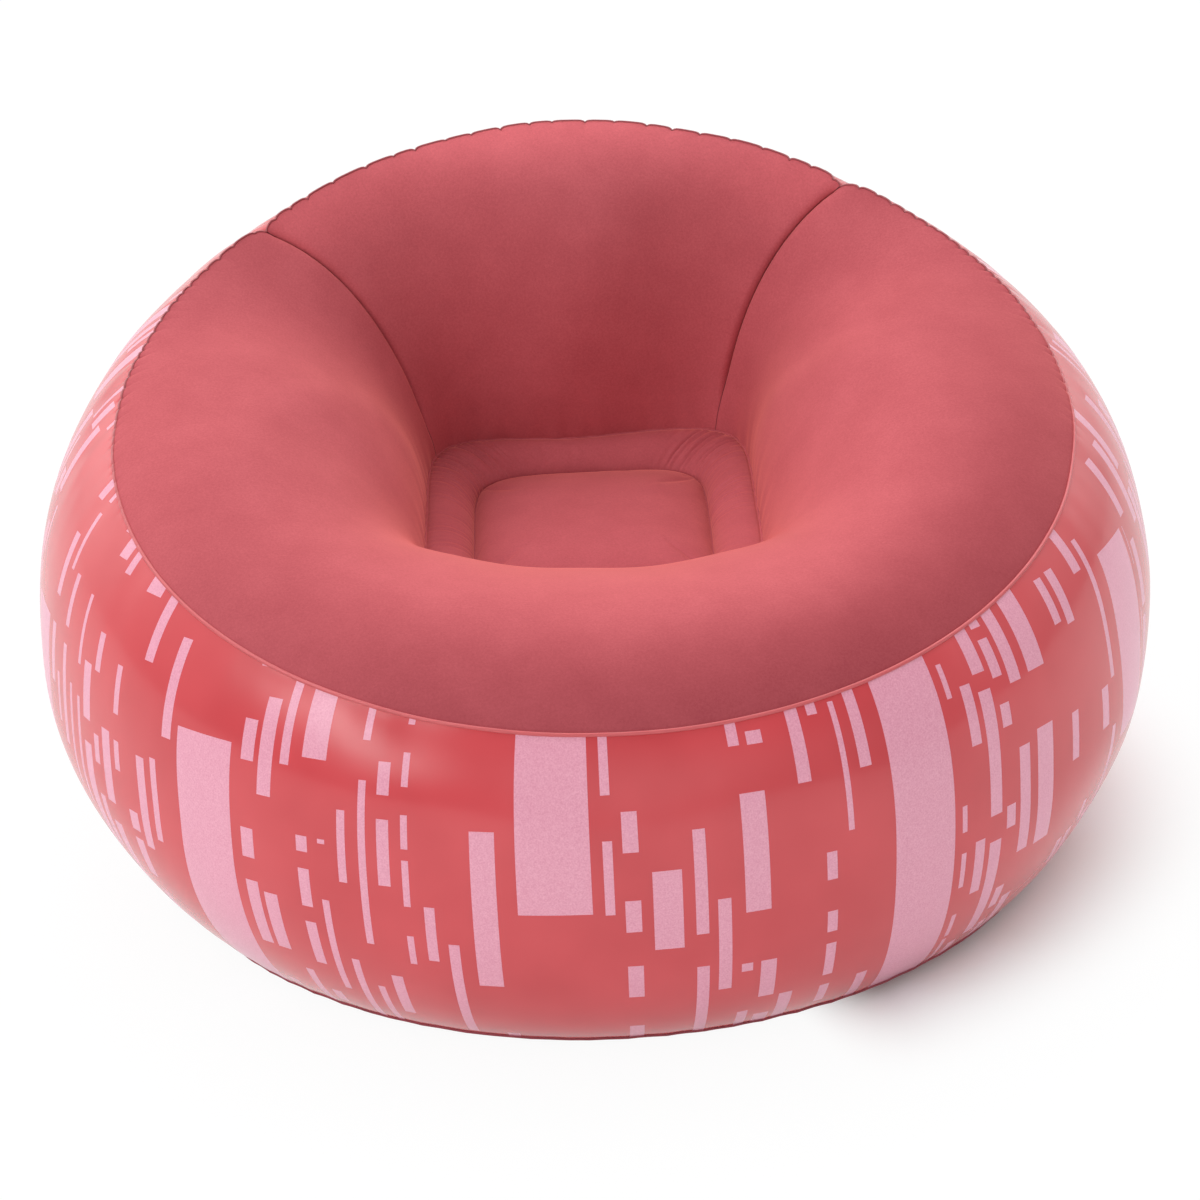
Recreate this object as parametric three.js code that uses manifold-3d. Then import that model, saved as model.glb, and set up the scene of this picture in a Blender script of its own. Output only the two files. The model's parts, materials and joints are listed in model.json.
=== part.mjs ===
// An inflatable lounge chair: a round air chamber welded from film, with a horseshoe of arms,
// a back, and a sunken seat pad held down by tie walls, and a screw valve low on the rear wall.
// Millimetres, +Z up. The seat opens towards -Y, and the origin is on the floor below the middle.
import * as THREE from "three";
import { mergeVertices } from "three/addons/utils/BufferGeometryUtils.js";
import Module from "manifold-3d";

const wasm = await Module();
wasm.setup();

// Outline of the inflated chamber. A set of three sizes holds at the front, the sides and the back,
// and what lies between them is blended.
const bellyRadius = 560;
const bellyHeight = { front: 183, side: 221, back: 338 };
const baseSeamRadius = { front: 513, side: 455, back: 440 };
const baseSeamHeight = 12;
const rimRadius = { front: 516, side: 458, back: 329 };
const rimHeight = { front: 327, side: 470, back: 616 };
const recessHalfWidth = 174;
const recessHalfDepth = 200;
const recessCentre = 60;
const recessShift = 5;
const recessHeight = 287;
const channelWidth = 51;
const channelDrop = 29;
const channelCrown = 9;
const padCrown = 26;
const floorPatchInset = 55;

// Angles of the film and the seams in degrees. The seat sits a little turned, as on the real chair.
const baseLiftAngle = { front: 46, side: 43, back: 48 };
const rimArrivalAngle = { front: 47, side: 38, back: 12 };
const rimCrownAngle = { front: 38, side: 59, back: 40 };
const recessCrownAngle = { front: 45, side: 62, back: 26 };
const backSeamRimAngle = 52;
const backSeamRecessAngle = 49;
const seatTurn = -5;
const valleyAngle = 10;
const valleyDepthShare = 0.36;
const cornerExponent = 5.5;

// Films and welded seams
const wallFilm = 0.4;
const bottomFilm = 0.4;
const tieFilm = 0.4;
const flockedFilm = 0.8;
const seamRadius = 2;
const tieSeamRadius = 1.6;
const weldGap = 0.4;
const airHoleRadius = 28;
const airHoleHeight = 120;

// Screw valve: a base welded in the wall, an insert that screws into it, and a cap on the insert
const valveRise = 120;
const neckBore = 18.6;
const neckWall = 2.4;
const neckDepth = 9;
const neckHeight = 3;
const lipOverhang = 2.5;
const lipThickness = 1.4;
const flangeOverhang = 9;
const flangeThickness = 1.2;
const flatMargin = 3;
const threadDepth = 0.9;
const threadClearance = 0.5;
const threadBite = 0.3;
const insertPitch = 4;
const capPitch = 3;
const capThreadTurns = 1.5;
const skirtWall = 3.2;
const skirtDepth = 7;
const insertLead = 1.2;
const insertFlangeThickness = 1.6;
const collarHeight = 2.2;
const collarWall = 4.5;
const spiderThickness = 1.5;
const spiderRim = 2.5;
const hubRadius = 4;
const hubHole = 1.4;
const spokeWidth = 2.2;
const flapThickness = 1.1;
const flapOverlap = 1.5;
const flapTravel = 3;
const stemRadius = 1;
const bulbRadius = 2;
const bulbHeight = 1.4;
const gasketThickness = 1;
const gasketInset = 0.6;
const capWall = 2;
const capThickness = 1.8;
const plugDepth = 7.4;
const gripHeight = 4;
const gripThickness = 3;
const strapThickness = 0.9;
const strapWidth = 6;
const strapReach = 6;
const ringWidth = 2.8;
const play = 0.3;

// How finely the curved films are divided
const armColumns = 32;
const backSideColumns = 5;
const lowerRowsAbove = 3;
const upperRows = 6;
const panelRows = 12;
const channelRows = 3;
const seamSides = 5;
const turnSegments = 28;
const bendSegments = 6;
const threadSteps = 16;
const rootShare = 0.4;
const tipShare = 0.2;
const padRingShares = [1, 0.86, 0.66, 0.4, 0];
const bottomRingShares = [1, 0.5, 0];
const seamEasingShare = 0.3;

const up = new THREE.Vector3(0, 0, 1);
const degrees = THREE.MathUtils.degToRad;

// Materials
const flock = new THREE.MeshStandardMaterial({ color: 0xc8595f, roughness: 0.95, metalness: 0 });
const printedFilm = new THREE.MeshStandardMaterial({ color: 0xb8202c, roughness: 0.2, metalness: 0 });
const plainFilm = new THREE.MeshStandardMaterial({ color: 0xa81e2a, roughness: 0.35, metalness: 0 });
const weld = new THREE.MeshStandardMaterial({ color: 0x9c2a34, roughness: 0.3, metalness: 0 });
const valvePlastic = new THREE.MeshStandardMaterial({ color: 0xb02430, roughness: 0.4, metalness: 0 });
const silicone = new THREE.MeshStandardMaterial({ color: 0xe4e0da, roughness: 0.6, metalness: 0 });

// A mesh's geometry with its shared points merged, its empty triangles dropped and its faces out.
function closedBody(geometry) {
  const bare = geometry.clone();
  bare.deleteAttribute("normal");
  bare.deleteAttribute("uv");
  const merged = mergeVertices(bare);
  const points = merged.attributes.position;
  const kept = [];
  const [a, b, c] = [new THREE.Vector3(), new THREE.Vector3(), new THREE.Vector3()];
  let volume = 0;
  for (let i = 0; i < merged.index.count; i += 3) {
    const [p, q, r] = [0, 1, 2].map((k) => merged.index.getX(i + k));
    if (p === q || q === r || r === p) continue;
    kept.push(p, q, r);
    a.fromBufferAttribute(points, p);
    b.fromBufferAttribute(points, q);
    c.fromBufferAttribute(points, r);
    volume += a.dot(b.cross(c));
  }
  merged.setIndex(volume < 0 ? kept.reverse() : kept);
  return merged;
}

function toSolid(geometry) {
  const body = closedBody(geometry);
  const vertProperties = body.attributes.position.array;
  const triVerts = new Uint32Array(body.index.array);
  return new wasm.Manifold(new wasm.Mesh({ numProp: 3, vertProperties, triVerts }));
}

function fromSolid(solid) {
  const mesh = solid.getMesh();
  const geometry = new THREE.BufferGeometry();
  geometry.setAttribute("position", new THREE.BufferAttribute(mesh.vertProperties, 3));
  geometry.setIndex(new THREE.BufferAttribute(mesh.triVerts, 1));
  return geometry;
}

function joined(...geometries) {
  return fromSolid(geometries.map(toSolid).reduce((whole, next) => whole.add(next)));
}

function cut(geometry, ...tools) {
  return fromSolid(tools.map(toSolid).reduce((rest, tool) => rest.subtract(tool), toSolid(geometry)));
}

// A body through a row of sections, each a closed outline of as many points as the next. The two
// halves of an outline are divided along matching diagonals, so a film's faces never cross, and an
// open row is capped by joining the first half to the second, point to point.
function loft(sections, closed) {
  const positions = [];
  const triangle = (p, q, r) => positions.push(...p, ...q, ...r);
  const quad = (p, q, r, s) => {
    triangle(p, q, r);
    triangle(p, r, s);
  };
  const count = sections[0].length;
  const spans = closed ? sections.length : sections.length - 1;
  for (let i = 0; i < spans; i++) {
    const here = sections[i];
    const there = sections[(i + 1) % sections.length];
    for (let j = 0; j < count; j++) {
      const k = (j + 1) % count;
      if (j < count / 2) quad(here[j], there[j], there[k], here[k]);
      else quad(there[j], there[k], here[k], here[j]);
    }
  }
  const first = sections[0];
  const last = sections[sections.length - 1];
  for (let j = 0; j < count / 2 - 1 && !closed; j++) {
    const mirror = count - 1 - j;
    quad(first[j], first[j + 1], first[mirror - 1], first[mirror]);
    quad(last[mirror], last[mirror - 1], last[j + 1], last[j]);
  }
  const geometry = new THREE.BufferGeometry();
  geometry.setAttribute("position", new THREE.Float32BufferAttribute(positions, 3));
  return closedBody(geometry);
}

// A film: columns of points on one face, and the same points on the other. The columns follow each
// other clockwise seen from above, and run upwards or inwards, so the thickness goes to the inside.
function film(columns, thickness, closed) {
  const total = columns.length;
  const sections = columns.map((column, i) => {
    const before = columns[closed ? (i + total - 1) % total : Math.max(i - 1, 0)];
    const after = columns[closed ? (i + 1) % total : Math.min(i + 1, total - 1)];
    const inner = column.map((point, j) => {
      const across = after[j].clone().sub(before[j]);
      const ahead = column[Math.min(j + 1, column.length - 1)];
      const behind = column[Math.max(j - 1, 0)];
      const normal = ahead.clone().sub(behind).cross(across);
      if (normal.length() < Number.EPSILON) normal.copy(up);
      return point.clone().addScaledVector(normal.normalize(), -thickness);
    });
    return [...column, ...inner.reverse()];
  });
  return loft(sections, closed);
}

// A bead of round section along points, square to the path, with its first corner towards lead.
function bead(points, radius, closed, lead) {
  const total = points.length;
  const sections = points.map((point, i) => {
    const before = points[closed ? (i + total - 1) % total : Math.max(i - 1, 0)];
    const after = points[closed ? (i + 1) % total : Math.min(i + 1, total - 1)];
    const ahead = after.clone().sub(before).normalize();
    const right = ahead.clone().cross(lead(i)).normalize();
    const top = right.clone().cross(ahead);
    return Array.from({ length: seamSides }, (_, k) => {
      const turn = (2 * Math.PI * k) / seamSides;
      const arm = top.clone().multiplyScalar(Math.cos(turn)).addScaledVector(right, Math.sin(turn));
      return point.clone().addScaledVector(arm, radius);
    });
  });
  return loft(sections, closed);
}

// The blend of a front, side and back value at an azimuth, through all three of them.
function blend({ front, side, back }, azimuth) {
  const towardsBack = Math.sin(azimuth);
  const slope = (back - front) / 2;
  const bend = (back + front) / 2 - side;
  return side + slope * towardsBack + bend * towardsBack * towardsBack;
}

function outward(azimuth) {
  return new THREE.Vector3(Math.cos(azimuth), Math.sin(azimuth), 0);
}

function rising(azimuth, slope) {
  const direction = outward(azimuth).multiplyScalar(Math.cos(slope));
  return direction.addScaledVector(up, Math.sin(slope));
}

// A film's section between two seams, leaving the first and reaching the second in given
// directions, with handles as long as those of a circular arc.
function section(start, leaving, end, arriving) {
  const chord = end.clone().sub(start);
  const reach = chord.length();
  const along = chord.normalize();
  const firstHandle = ((2 / 3) * reach) / (1 + leaving.dot(along));
  const lastHandle = ((2 / 3) * reach) / (1 + arriving.dot(along));
  const curve = new THREE.CubicBezierCurve3(
    start,
    start.clone().addScaledVector(leaving, firstHandle),
    end.clone().addScaledVector(arriving, -lastHandle),
    end,
  );
  return { curve, firstHandle, lastHandle };
}

// The share of a cubic's parameter that covers a short length beside an end with that handle.
const endShare = (length, handle) => length / (3 * handle);
const filmSetback = seamRadius + weldGap;
const smallTurn = degrees(0.1);

// How far along a direction a point must go to stand a given length off a seam, square to it.
function squareReach(length, seamAt, azimuth, direction) {
  const tangent = seamAt(azimuth + smallTurn).sub(seamAt(azimuth - smallTurn)).normalize();
  return length / tangent.cross(direction).length();
}

// Seam lines
const baseSeam = (azimuth) =>
  outward(azimuth)
    .multiplyScalar(blend(baseSeamRadius, azimuth))
    .addScaledVector(up, baseSeamHeight);
const rimSeam = (azimuth) =>
  outward(azimuth)
    .multiplyScalar(blend(rimRadius, azimuth))
    .addScaledVector(up, blend(rimHeight, azimuth));

function roundedRectangle(azimuth, halfWidth, halfDepth, height) {
  const fromAxis = azimuth - degrees(seatTurn);
  const across = Math.abs(Math.cos(fromAxis) / halfWidth) ** cornerExponent;
  const along = Math.abs(Math.sin(fromAxis) / halfDepth) ** cornerExponent;
  const radius = (across + along) ** (-1 / cornerExponent);
  return outward(azimuth).multiplyScalar(radius).add(seatMiddle).addScaledVector(up, height);
}

const seatMiddle = new THREE.Vector3(recessShift, recessCentre, 0);
const padHalfWidth = recessHalfWidth - channelWidth;
const padHalfDepth = recessHalfDepth - channelWidth;
const padHeight = recessHeight - channelDrop;
const recessSeam = (azimuth) => roundedRectangle(azimuth, recessHalfWidth, recessHalfDepth, recessHeight);
const padSeam = (azimuth) => roundedRectangle(azimuth, padHalfWidth, padHalfDepth, padHeight);

// The side wall's section: from the base seam out to the belly, and in again to the rim seam.
function lowerWall(azimuth) {
  const belly = outward(azimuth).multiplyScalar(bellyRadius);
  belly.addScaledVector(up, blend(bellyHeight, azimuth));
  const lift = degrees(blend(baseLiftAngle, azimuth));
  return section(baseSeam(azimuth), rising(azimuth, lift), belly, up.clone());
}

function upperWall(azimuth) {
  const belly = outward(azimuth).multiplyScalar(bellyRadius);
  belly.addScaledVector(up, blend(bellyHeight, azimuth));
  const arrival = Math.PI - degrees(blend(rimArrivalAngle, azimuth));
  return section(belly, up.clone(), rimSeam(azimuth), rising(azimuth, arrival));
}

// The columns of the wall and the panels. The arms run from the right back seam round the front to
// the left one. The middle cell of the back is as wide as the valve's flange needs.
const flangeRadius = neckBore + neckWall + flangeOverhang;
const cellHalf = flangeRadius + flatMargin;
const rearLength = lowerWall(Math.PI / 2).curve.getLength();
const valveShare = valveRise / rearLength;
const valvePoint = lowerWall(Math.PI / 2).curve.getPointAt(valveShare);
const valveHalfAngle = Math.asin(cellHalf / valvePoint.y);

function backSeamAzimuth(share) {
  return degrees(THREE.MathUtils.lerp(backSeamRimAngle, backSeamRecessAngle, share));
}

function armAzimuth(column, share) {
  const even = column / armColumns;
  const eased = even - (seamEasingShare * Math.sin(2 * Math.PI * even)) / (2 * Math.PI);
  const seam = backSeamAzimuth(share);
  return Math.PI / 2 - seam - eased * 2 * (Math.PI - seam);
}

function backAzimuth(column, share) {
  const fromMiddle = column - backSideColumns - 0.5;
  const steps = Math.abs(fromMiddle) - 0.5;
  const spread = (backSeamAzimuth(share) - valveHalfAngle) / backSideColumns;
  return Math.PI / 2 - Math.sign(fromMiddle) * (valveHalfAngle + spread * steps);
}

const backColumns = 2 * backSideColumns + 1;
const armIndices = Array.from({ length: armColumns + 1 }, (_, column) => column);
const backIndices = Array.from({ length: backColumns + 1 }, (_, column) => column);

// All columns once round, without the second mention of the two seams.
const roundAzimuths = (share) => [
  ...armIndices.map((column) => armAzimuth(column, share)),
  ...backIndices.slice(1, -1).map((column) => backAzimuth(column, share)),
];

// Side wall, with a flat cell behind the valve's flange
const lowerShares = [0, valveShare - cellHalf / rearLength, valveShare + cellHalf / rearLength];
for (let row = 1; row <= lowerRowsAbove; row++) {
  lowerShares.push(THREE.MathUtils.lerp(lowerShares[2], 1, row / lowerRowsAbove));
}

function wallColumn(azimuth) {
  const lower = lowerWall(azimuth).curve;
  const upper = upperWall(azimuth).curve;
  const lowerStart = filmSetback / lower.getLength();
  const arriving = upper.getTangent(1);
  const upperEnd = 1 - squareReach(filmSetback, rimSeam, azimuth, arriving) / upper.getLength();
  const points = lowerShares.map((share) => lower.getPointAt(Math.max(share, lowerStart)));
  for (let row = 1; row <= upperRows; row++) {
    points.push(upper.getPointAt((upperEnd * row) / upperRows));
  }
  return points;
}

const wallColumns = roundAzimuths(0).map(wallColumn);
const valveColumn = armColumns + backSideColumns;
const valveCell = [valveColumn, valveColumn + 1].flatMap((i) => wallColumns[i].slice(1, 3));
const wallBlank = film(wallColumns, wallFilm, true);

// The valve stands square on its flat cell
const valveCentre = valveCell.reduce((sum, point) => sum.add(point), new THREE.Vector3()).divideScalar(4);
const valveRight = new THREE.Vector3(1, 0, 0);
const valveUp = valveCell[1].clone().sub(valveCell[0]);
valveUp.addScaledVector(valveRight, -valveUp.x).normalize();
const valveAxis = valveUp.clone().cross(valveRight).normalize();
const valveBasis = new THREE.Matrix4().makeBasis(valveRight, valveAxis.clone().cross(valveRight), valveAxis);
const valvePlace = valveBasis.clone().setPosition(valveCentre);

const neckOuter = neckBore + neckWall;
const wallHole = new THREE.CylinderGeometry(neckOuter + play, neckOuter + play, 2 * neckDepth, turnSegments);
wallHole.rotateX(Math.PI / 2).applyMatrix4(valvePlace);
const sideWall = cut(wallBlank, wallHole);

// Flocked top panels
const seamFade = (azimuth, share) => {
  const fromBack = Math.abs(Math.PI / 2 - azimuth);
  const nearest = Math.min(fromBack, 2 * Math.PI - fromBack);
  const away = (nearest - backSeamAzimuth(share)) / degrees(valleyAngle);
  return 1 - valleyDepthShare * Math.exp(-away * away);
};

function topPoint(azimuth, share, setback = filmSetback) {
  const rim = rimSeam(azimuth);
  const recess = recessSeam(azimuth);
  const along = recess.clone().sub(rim).normalize();
  const rise = up.clone().addScaledVector(along, -along.z).normalize();
  const fade = seamFade(azimuth, share);
  const startAngle = degrees(blend(rimCrownAngle, azimuth)) * fade;
  const endAngle = degrees(blend(recessCrownAngle, azimuth)) * fade;
  const inclined = (angle) => along.clone().multiplyScalar(Math.cos(angle)).addScaledVector(rise, Math.sin(angle));
  const leaving = inclined(startAngle);
  const arriving = inclined(-endAngle);
  const { curve, firstHandle, lastHandle } = section(rim, leaving, recess, arriving);
  const from = endShare(squareReach(setback, rimSeam, azimuth, leaving), firstHandle);
  const to = 1 - endShare(squareReach(setback, recessSeam, azimuth, arriving), lastHandle);
  return curve.getPoint(THREE.MathUtils.lerp(from, to, share));
}

// A panel's edge along a back seam stands off it by the same distance at every radius.
function panelColumn(azimuthAt, edgeSide) {
  return Array.from({ length: panelRows + 1 }, (_, row) => {
    const share = row / panelRows;
    const azimuth = azimuthAt(share);
    const point = topPoint(azimuth, share);
    const standOff = (edgeSide * filmSetback) / Math.hypot(point.x, point.y);
    return edgeSide ? topPoint(azimuth + standOff, share) : point;
  });
}

const armPanel = film(
  armIndices.map((column) => {
    const edgeSide = { 0: -1, [armColumns]: 1 }[column] ?? 0;
    return panelColumn((share) => armAzimuth(column, share), edgeSide);
  }),
  flockedFilm,
  false,
);
const backPanel = film(
  backIndices.map((column) => {
    const edgeSide = { 0: -1, [backColumns]: 1 }[column] ?? 0;
    return panelColumn((share) => backAzimuth(column, share), edgeSide);
  }),
  flockedFilm,
  false,
);

// Seat channel: a ring that bulges a little between the recess seam and the pad seam
const padSetback = tieSeamRadius + weldGap;

function channelColumn(azimuth) {
  const outer = recessSeam(azimuth);
  const inner = padSeam(azimuth);
  const width = inner.distanceTo(outer);
  return Array.from({ length: channelRows + 1 }, (_, row) => {
    const share = THREE.MathUtils.lerp(filmSetback / width, 1 - padSetback / width, row / channelRows);
    const crown = channelCrown * 4 * share * (1 - share);
    return outer.clone().lerp(inner, share).addScaledVector(up, crown);
  });
}

// Seat pad: a low dome over the pad seam
function padColumn(azimuth) {
  const edge = padSeam(azimuth);
  const middle = seatMiddle.clone().addScaledVector(up, padHeight);
  const edgeShare = 1 - padSetback / edge.distanceTo(middle);
  return padRingShares.map((ringShare) => {
    const share = ringShare * edgeShare;
    return middle.clone().lerp(edge, share).addScaledVector(up, padCrown * (1 - share * share));
  });
}

const seatAzimuths = roundAzimuths(1);
const seatChannel = film(seatAzimuths.map(channelColumn), flockedFilm, true);
const seatPad = film(seatAzimuths.map(padColumn), flockedFilm, true);

// Bottom panel: flat on the floor, and curving up to the base seam. Its columns lie on its underside.
function bottomColumn(azimuth) {
  const rim = baseSeam(azimuth).addScaledVector(outward(azimuth), -filmSetback);
  const patch = outward(azimuth).multiplyScalar(blend(baseSeamRadius, azimuth) - floorPatchInset);
  const reach = rim.clone().sub(patch);
  const curving = bottomRingShares.map((share) => {
    const flat = patch.clone().lerp(new THREE.Vector3(rim.x, rim.y, 0), share);
    return flat.addScaledVector(up, reach.z * share * share);
  });
  return [...curving, new THREE.Vector3()];
}

const bottomPanel = film(roundAzimuths(0).map(bottomColumn), -bottomFilm, true);

// Tie walls: bands that hang from the two seat seams down to the bottom panel, with air holes
function tieWall(seamAt, beadRadius) {
  const columns = seatAzimuths.map((azimuth) => {
    const top = seamAt(azimuth).addScaledVector(up, -beadRadius - weldGap);
    const foot = new THREE.Vector3(top.x, top.y, bottomFilm + play);
    return [foot, top];
  });
  const band = film(columns, tieFilm, true);
  const reach = 3 * recessHalfDepth;
  const holes = [0, 1].map((axis) => {
    const hole = new THREE.CylinderGeometry(airHoleRadius, airHoleRadius, reach, turnSegments / 2);
    if (axis) hole.rotateZ(Math.PI / 2);
    return hole.translate(recessShift, recessCentre, airHoleHeight);
  });
  return cut(band, ...holes);
}

// Seam beads
const rimBead = bead(roundAzimuths(0).map(rimSeam), seamRadius, true, () => up);
const baseBead = bead(roundAzimuths(0).map(baseSeam), seamRadius, true, () => up);
const recessBead = bead(seatAzimuths.map(recessSeam), seamRadius, true, () => up);
const padBead = bead(seatAzimuths.map(padSeam), tieSeamRadius, true, () => up);

function backSeamBead(sideSign) {
  const points = Array.from({ length: panelRows + 1 }, (_, row) => {
    const share = row / panelRows;
    const azimuth = Math.PI / 2 - sideSign * backSeamAzimuth(share);
    return topPoint(azimuth, share, 2 * seamRadius + weldGap);
  });
  const across = outward(-sideSign * backSeamAzimuth(0.5));
  return bead(points, seamRadius, false, () => across);
}

// A turned piece from its closed half section, given as radius and height pairs.
function turned(pairs, segments = turnSegments) {
  const profile = [...pairs, pairs[0]].map(([radius, height]) => new THREE.Vector2(radius, height));
  return new THREE.LatheGeometry(profile, segments).rotateX(Math.PI / 2);
}

// A thread ridge along a helix, from its root radius to its tip radius, its middle rising from one
// height to another.
function ridge(rootRadius, tipRadius, pitch, from, to) {
  const steps = Math.round((threadSteps * (to - from)) / pitch);
  const sections = Array.from({ length: steps + 1 }, (_, step) => {
    const middle = THREE.MathUtils.lerp(from, to, step / steps);
    const turn = (2 * Math.PI * (middle - from)) / pitch;
    const at = (radius, lift) => outward(turn).multiplyScalar(radius).addScaledVector(up, middle + lift);
    const root = (rootShare * pitch) / 2;
    const tip = (tipShare * pitch) / 2;
    return [at(rootRadius, -root), at(tipRadius, -tip), at(tipRadius, tip), at(rootRadius, root)];
  });
  return loft(sections, false);
}

function ring(innerRadius, outerRadius, from, to) {
  return turned([
    [innerRadius, from],
    [outerRadius, from],
    [outerRadius, to],
    [innerRadius, to],
  ]);
}

// Heights along the valve's axis, from the wall's outer face
const lipTop = neckHeight;
const gasketTop = lipTop + play + gasketThickness;
const spigotFoot = gasketTop + play;
const upperRingTop = spigotFoot + strapThickness;
const insertFlangeFoot = upperRingTop + play;
const insertFlangeTop = insertFlangeFoot + insertFlangeThickness;
const collarTop = insertFlangeTop + collarHeight;
const capGasketTop = collarTop + play + gasketThickness;
const capSpigotFoot = capGasketTop + play;
const capRingTop = capSpigotFoot + strapThickness;
const capFoot = capRingTop + play;
const capTop = capFoot + capThickness;

// Radii across the valve
const lipRadius = neckOuter + lipOverhang;
const skirtOuter = neckBore - threadDepth - threadClearance;
const insertBore = skirtOuter - skirtWall;
const gasketOuter = lipRadius + gasketInset;
const spigotRadius = gasketOuter - 2 * gasketInset;
const insertFlangeRadius = spigotRadius + play + ringWidth;
const plugOuter = insertBore - threadDepth - threadClearance;
const plugBore = plugOuter - capWall;
const collarRadius = insertBore + collarWall;
const capSpigotRadius = collarRadius - gasketInset;
const capRadius = capSpigotRadius + play + ringWidth;
const flapRadius = insertBore - spiderRim + flapOverlap;

// Valve base: the flange lies inside the wall, and the threaded neck passes out through it
const flangeTop = -wallFilm - play;
const base = joined(
  turned([
    [neckBore, -neckDepth],
    [neckOuter, -neckDepth],
    [neckOuter, flangeTop - flangeThickness],
    [flangeRadius, flangeTop - flangeThickness],
    [flangeRadius, flangeTop],
    [neckOuter, flangeTop],
    [neckOuter, lipTop - lipThickness],
    [lipRadius, lipTop - lipThickness],
    [lipRadius, lipTop],
    [neckBore, lipTop],
  ]),
  ridge(neckBore + threadBite, neckBore - threadDepth, insertPitch, -neckDepth + insertPitch / 2, 0),
);

// Valve insert: a threaded skirt with a spider across its foot, a flange and a collar for the cap
const insertThreadFoot = -neckDepth + insertPitch;
const capThreadStart = insertFlangeFoot - capPitch;
const spiderTop = -skirtDepth + spiderThickness;

function spiderWindow(index) {
  const outer = insertBore - spiderRim;
  const half = (radius) => Math.PI / 3 - Math.asin(spokeWidth / 2 / radius);
  const outline = new THREE.Shape();
  outline.absarc(0, 0, outer, -half(outer), half(outer), false);
  outline.absarc(0, 0, hubRadius, half(hubRadius), -half(hubRadius), true);
  const window = new THREE.ExtrudeGeometry(outline, {
    depth: 3 * spiderThickness,
    bevelEnabled: false,
    curveSegments: turnSegments / 4,
  });
  return window.translate(0, 0, -skirtDepth - spiderThickness).rotateZ((2 * Math.PI * index) / 3);
}

const hubBore = new THREE.CylinderGeometry(hubHole, hubHole, 3 * spiderThickness, turnSegments / 2);
hubBore.rotateX(Math.PI / 2).translate(0, 0, -skirtDepth);
const insertBody = turned([
  [0, -skirtDepth],
  [skirtOuter, -skirtDepth],
  [skirtOuter, spigotFoot],
  [spigotRadius, spigotFoot],
  [spigotRadius, insertFlangeFoot],
  [insertFlangeRadius, insertFlangeFoot],
  [insertFlangeRadius, insertFlangeTop],
  [collarRadius, insertFlangeTop],
  [collarRadius, collarTop],
  [insertBore, collarTop],
  [insertBore, spiderTop],
  [0, spiderTop],
]);
const insert = joined(
  cut(insertBody, ...[0, 1, 2].map(spiderWindow), hubBore),
  ridge(skirtOuter - threadBite, skirtOuter + threadDepth, insertPitch, insertThreadFoot, insertLead),
  ridge(insertBore + threadBite, insertBore - threadDepth, capPitch, capThreadStart, insertFlangeTop),
);

// Check flap: a soft disc under the spider on a stem, with a bulb that stops its travel
const flapTop = -skirtDepth - play;
const bulbFoot = spiderTop + flapTravel + play;
const flap = turned(
  [
    [0, flapTop - flapThickness],
    [flapRadius, flapTop - flapThickness],
    [flapRadius, flapTop],
    [stemRadius, flapTop],
    [stemRadius, bulbFoot],
    [bulbRadius, bulbFoot],
    [stemRadius, bulbFoot + bulbHeight],
    [0, bulbFoot + bulbHeight],
  ],
  turnSegments / 2,
);

// Cap: a hollow threaded plug under a disc, with a bar across it to turn it by
const plugFoot = capFoot - plugDepth - capPitch / 2;
const capThreadFoot = capThreadStart + capPitch / 2;
const capThreadTop = capThreadFoot + capThreadTurns * capPitch;
const gripBar = new THREE.BoxGeometry(2 * plugOuter, gripThickness, gripHeight + capThickness);
gripBar.translate(0, 0, capTop + (gripHeight - capThickness) / 2);
const cap = joined(
  turned([
    [0, capFoot],
    [plugBore, capFoot],
    [plugBore, plugFoot],
    [plugOuter, plugFoot],
    [plugOuter, capSpigotFoot],
    [capSpigotRadius, capSpigotFoot],
    [capSpigotRadius, capFoot],
    [capRadius, capFoot],
    [capRadius, capTop],
    [0, capTop],
  ]),
  gripBar,
  ridge(plugOuter - threadBite, plugOuter + threadDepth, capPitch, capThreadFoot, capThreadTop),
);

// A tether: a lower and an upper flat ring, joined at one side by a strap that turns back on itself
function tether(lowerInner, lowerFoot, upperInner, upperFoot) {
  const lower = ring(lowerInner, lowerInner + ringWidth, lowerFoot, lowerFoot + strapThickness);
  const upper = ring(upperInner, upperInner + ringWidth, upperFoot, upperFoot + strapThickness);
  const lowEdge = lowerInner + ringWidth / 2;
  const highEdge = upperInner + ringWidth / 2;
  const bendRadius = (upperFoot + strapThickness - lowerFoot) / 2;
  const bendCentre = Math.max(lowEdge, highEdge) + strapReach;
  const outline = new THREE.Shape();
  outline.moveTo(lowEdge, lowerFoot);
  outline.absarc(bendCentre, lowerFoot + bendRadius, bendRadius, -Math.PI / 2, Math.PI / 2, false);
  outline.lineTo(highEdge, upperFoot + strapThickness);
  outline.lineTo(highEdge, upperFoot);
  const innerBend = bendRadius - strapThickness;
  outline.absarc(bendCentre, lowerFoot + bendRadius, innerBend, Math.PI / 2, -Math.PI / 2, true);
  outline.lineTo(lowEdge, lowerFoot + strapThickness);
  const across = { depth: strapWidth, bevelEnabled: false, curveSegments: bendSegments };
  const strap = new THREE.ExtrudeGeometry(outline, across);
  strap.translate(0, 0, -strapWidth / 2).rotateX(Math.PI / 2);
  return joined(lower, upper, strap);
}

const insertTether = tether(neckOuter + play, play, spigotRadius + play, spigotFoot);
const capTether = tether(collarRadius + play, insertFlangeTop + play, capSpigotRadius + play, capSpigotFoot);

// Assembly
const chair = new THREE.Group();
const valve = new THREE.Group();
valve.applyMatrix4(valvePlace);
chair.add(valve);

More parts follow.
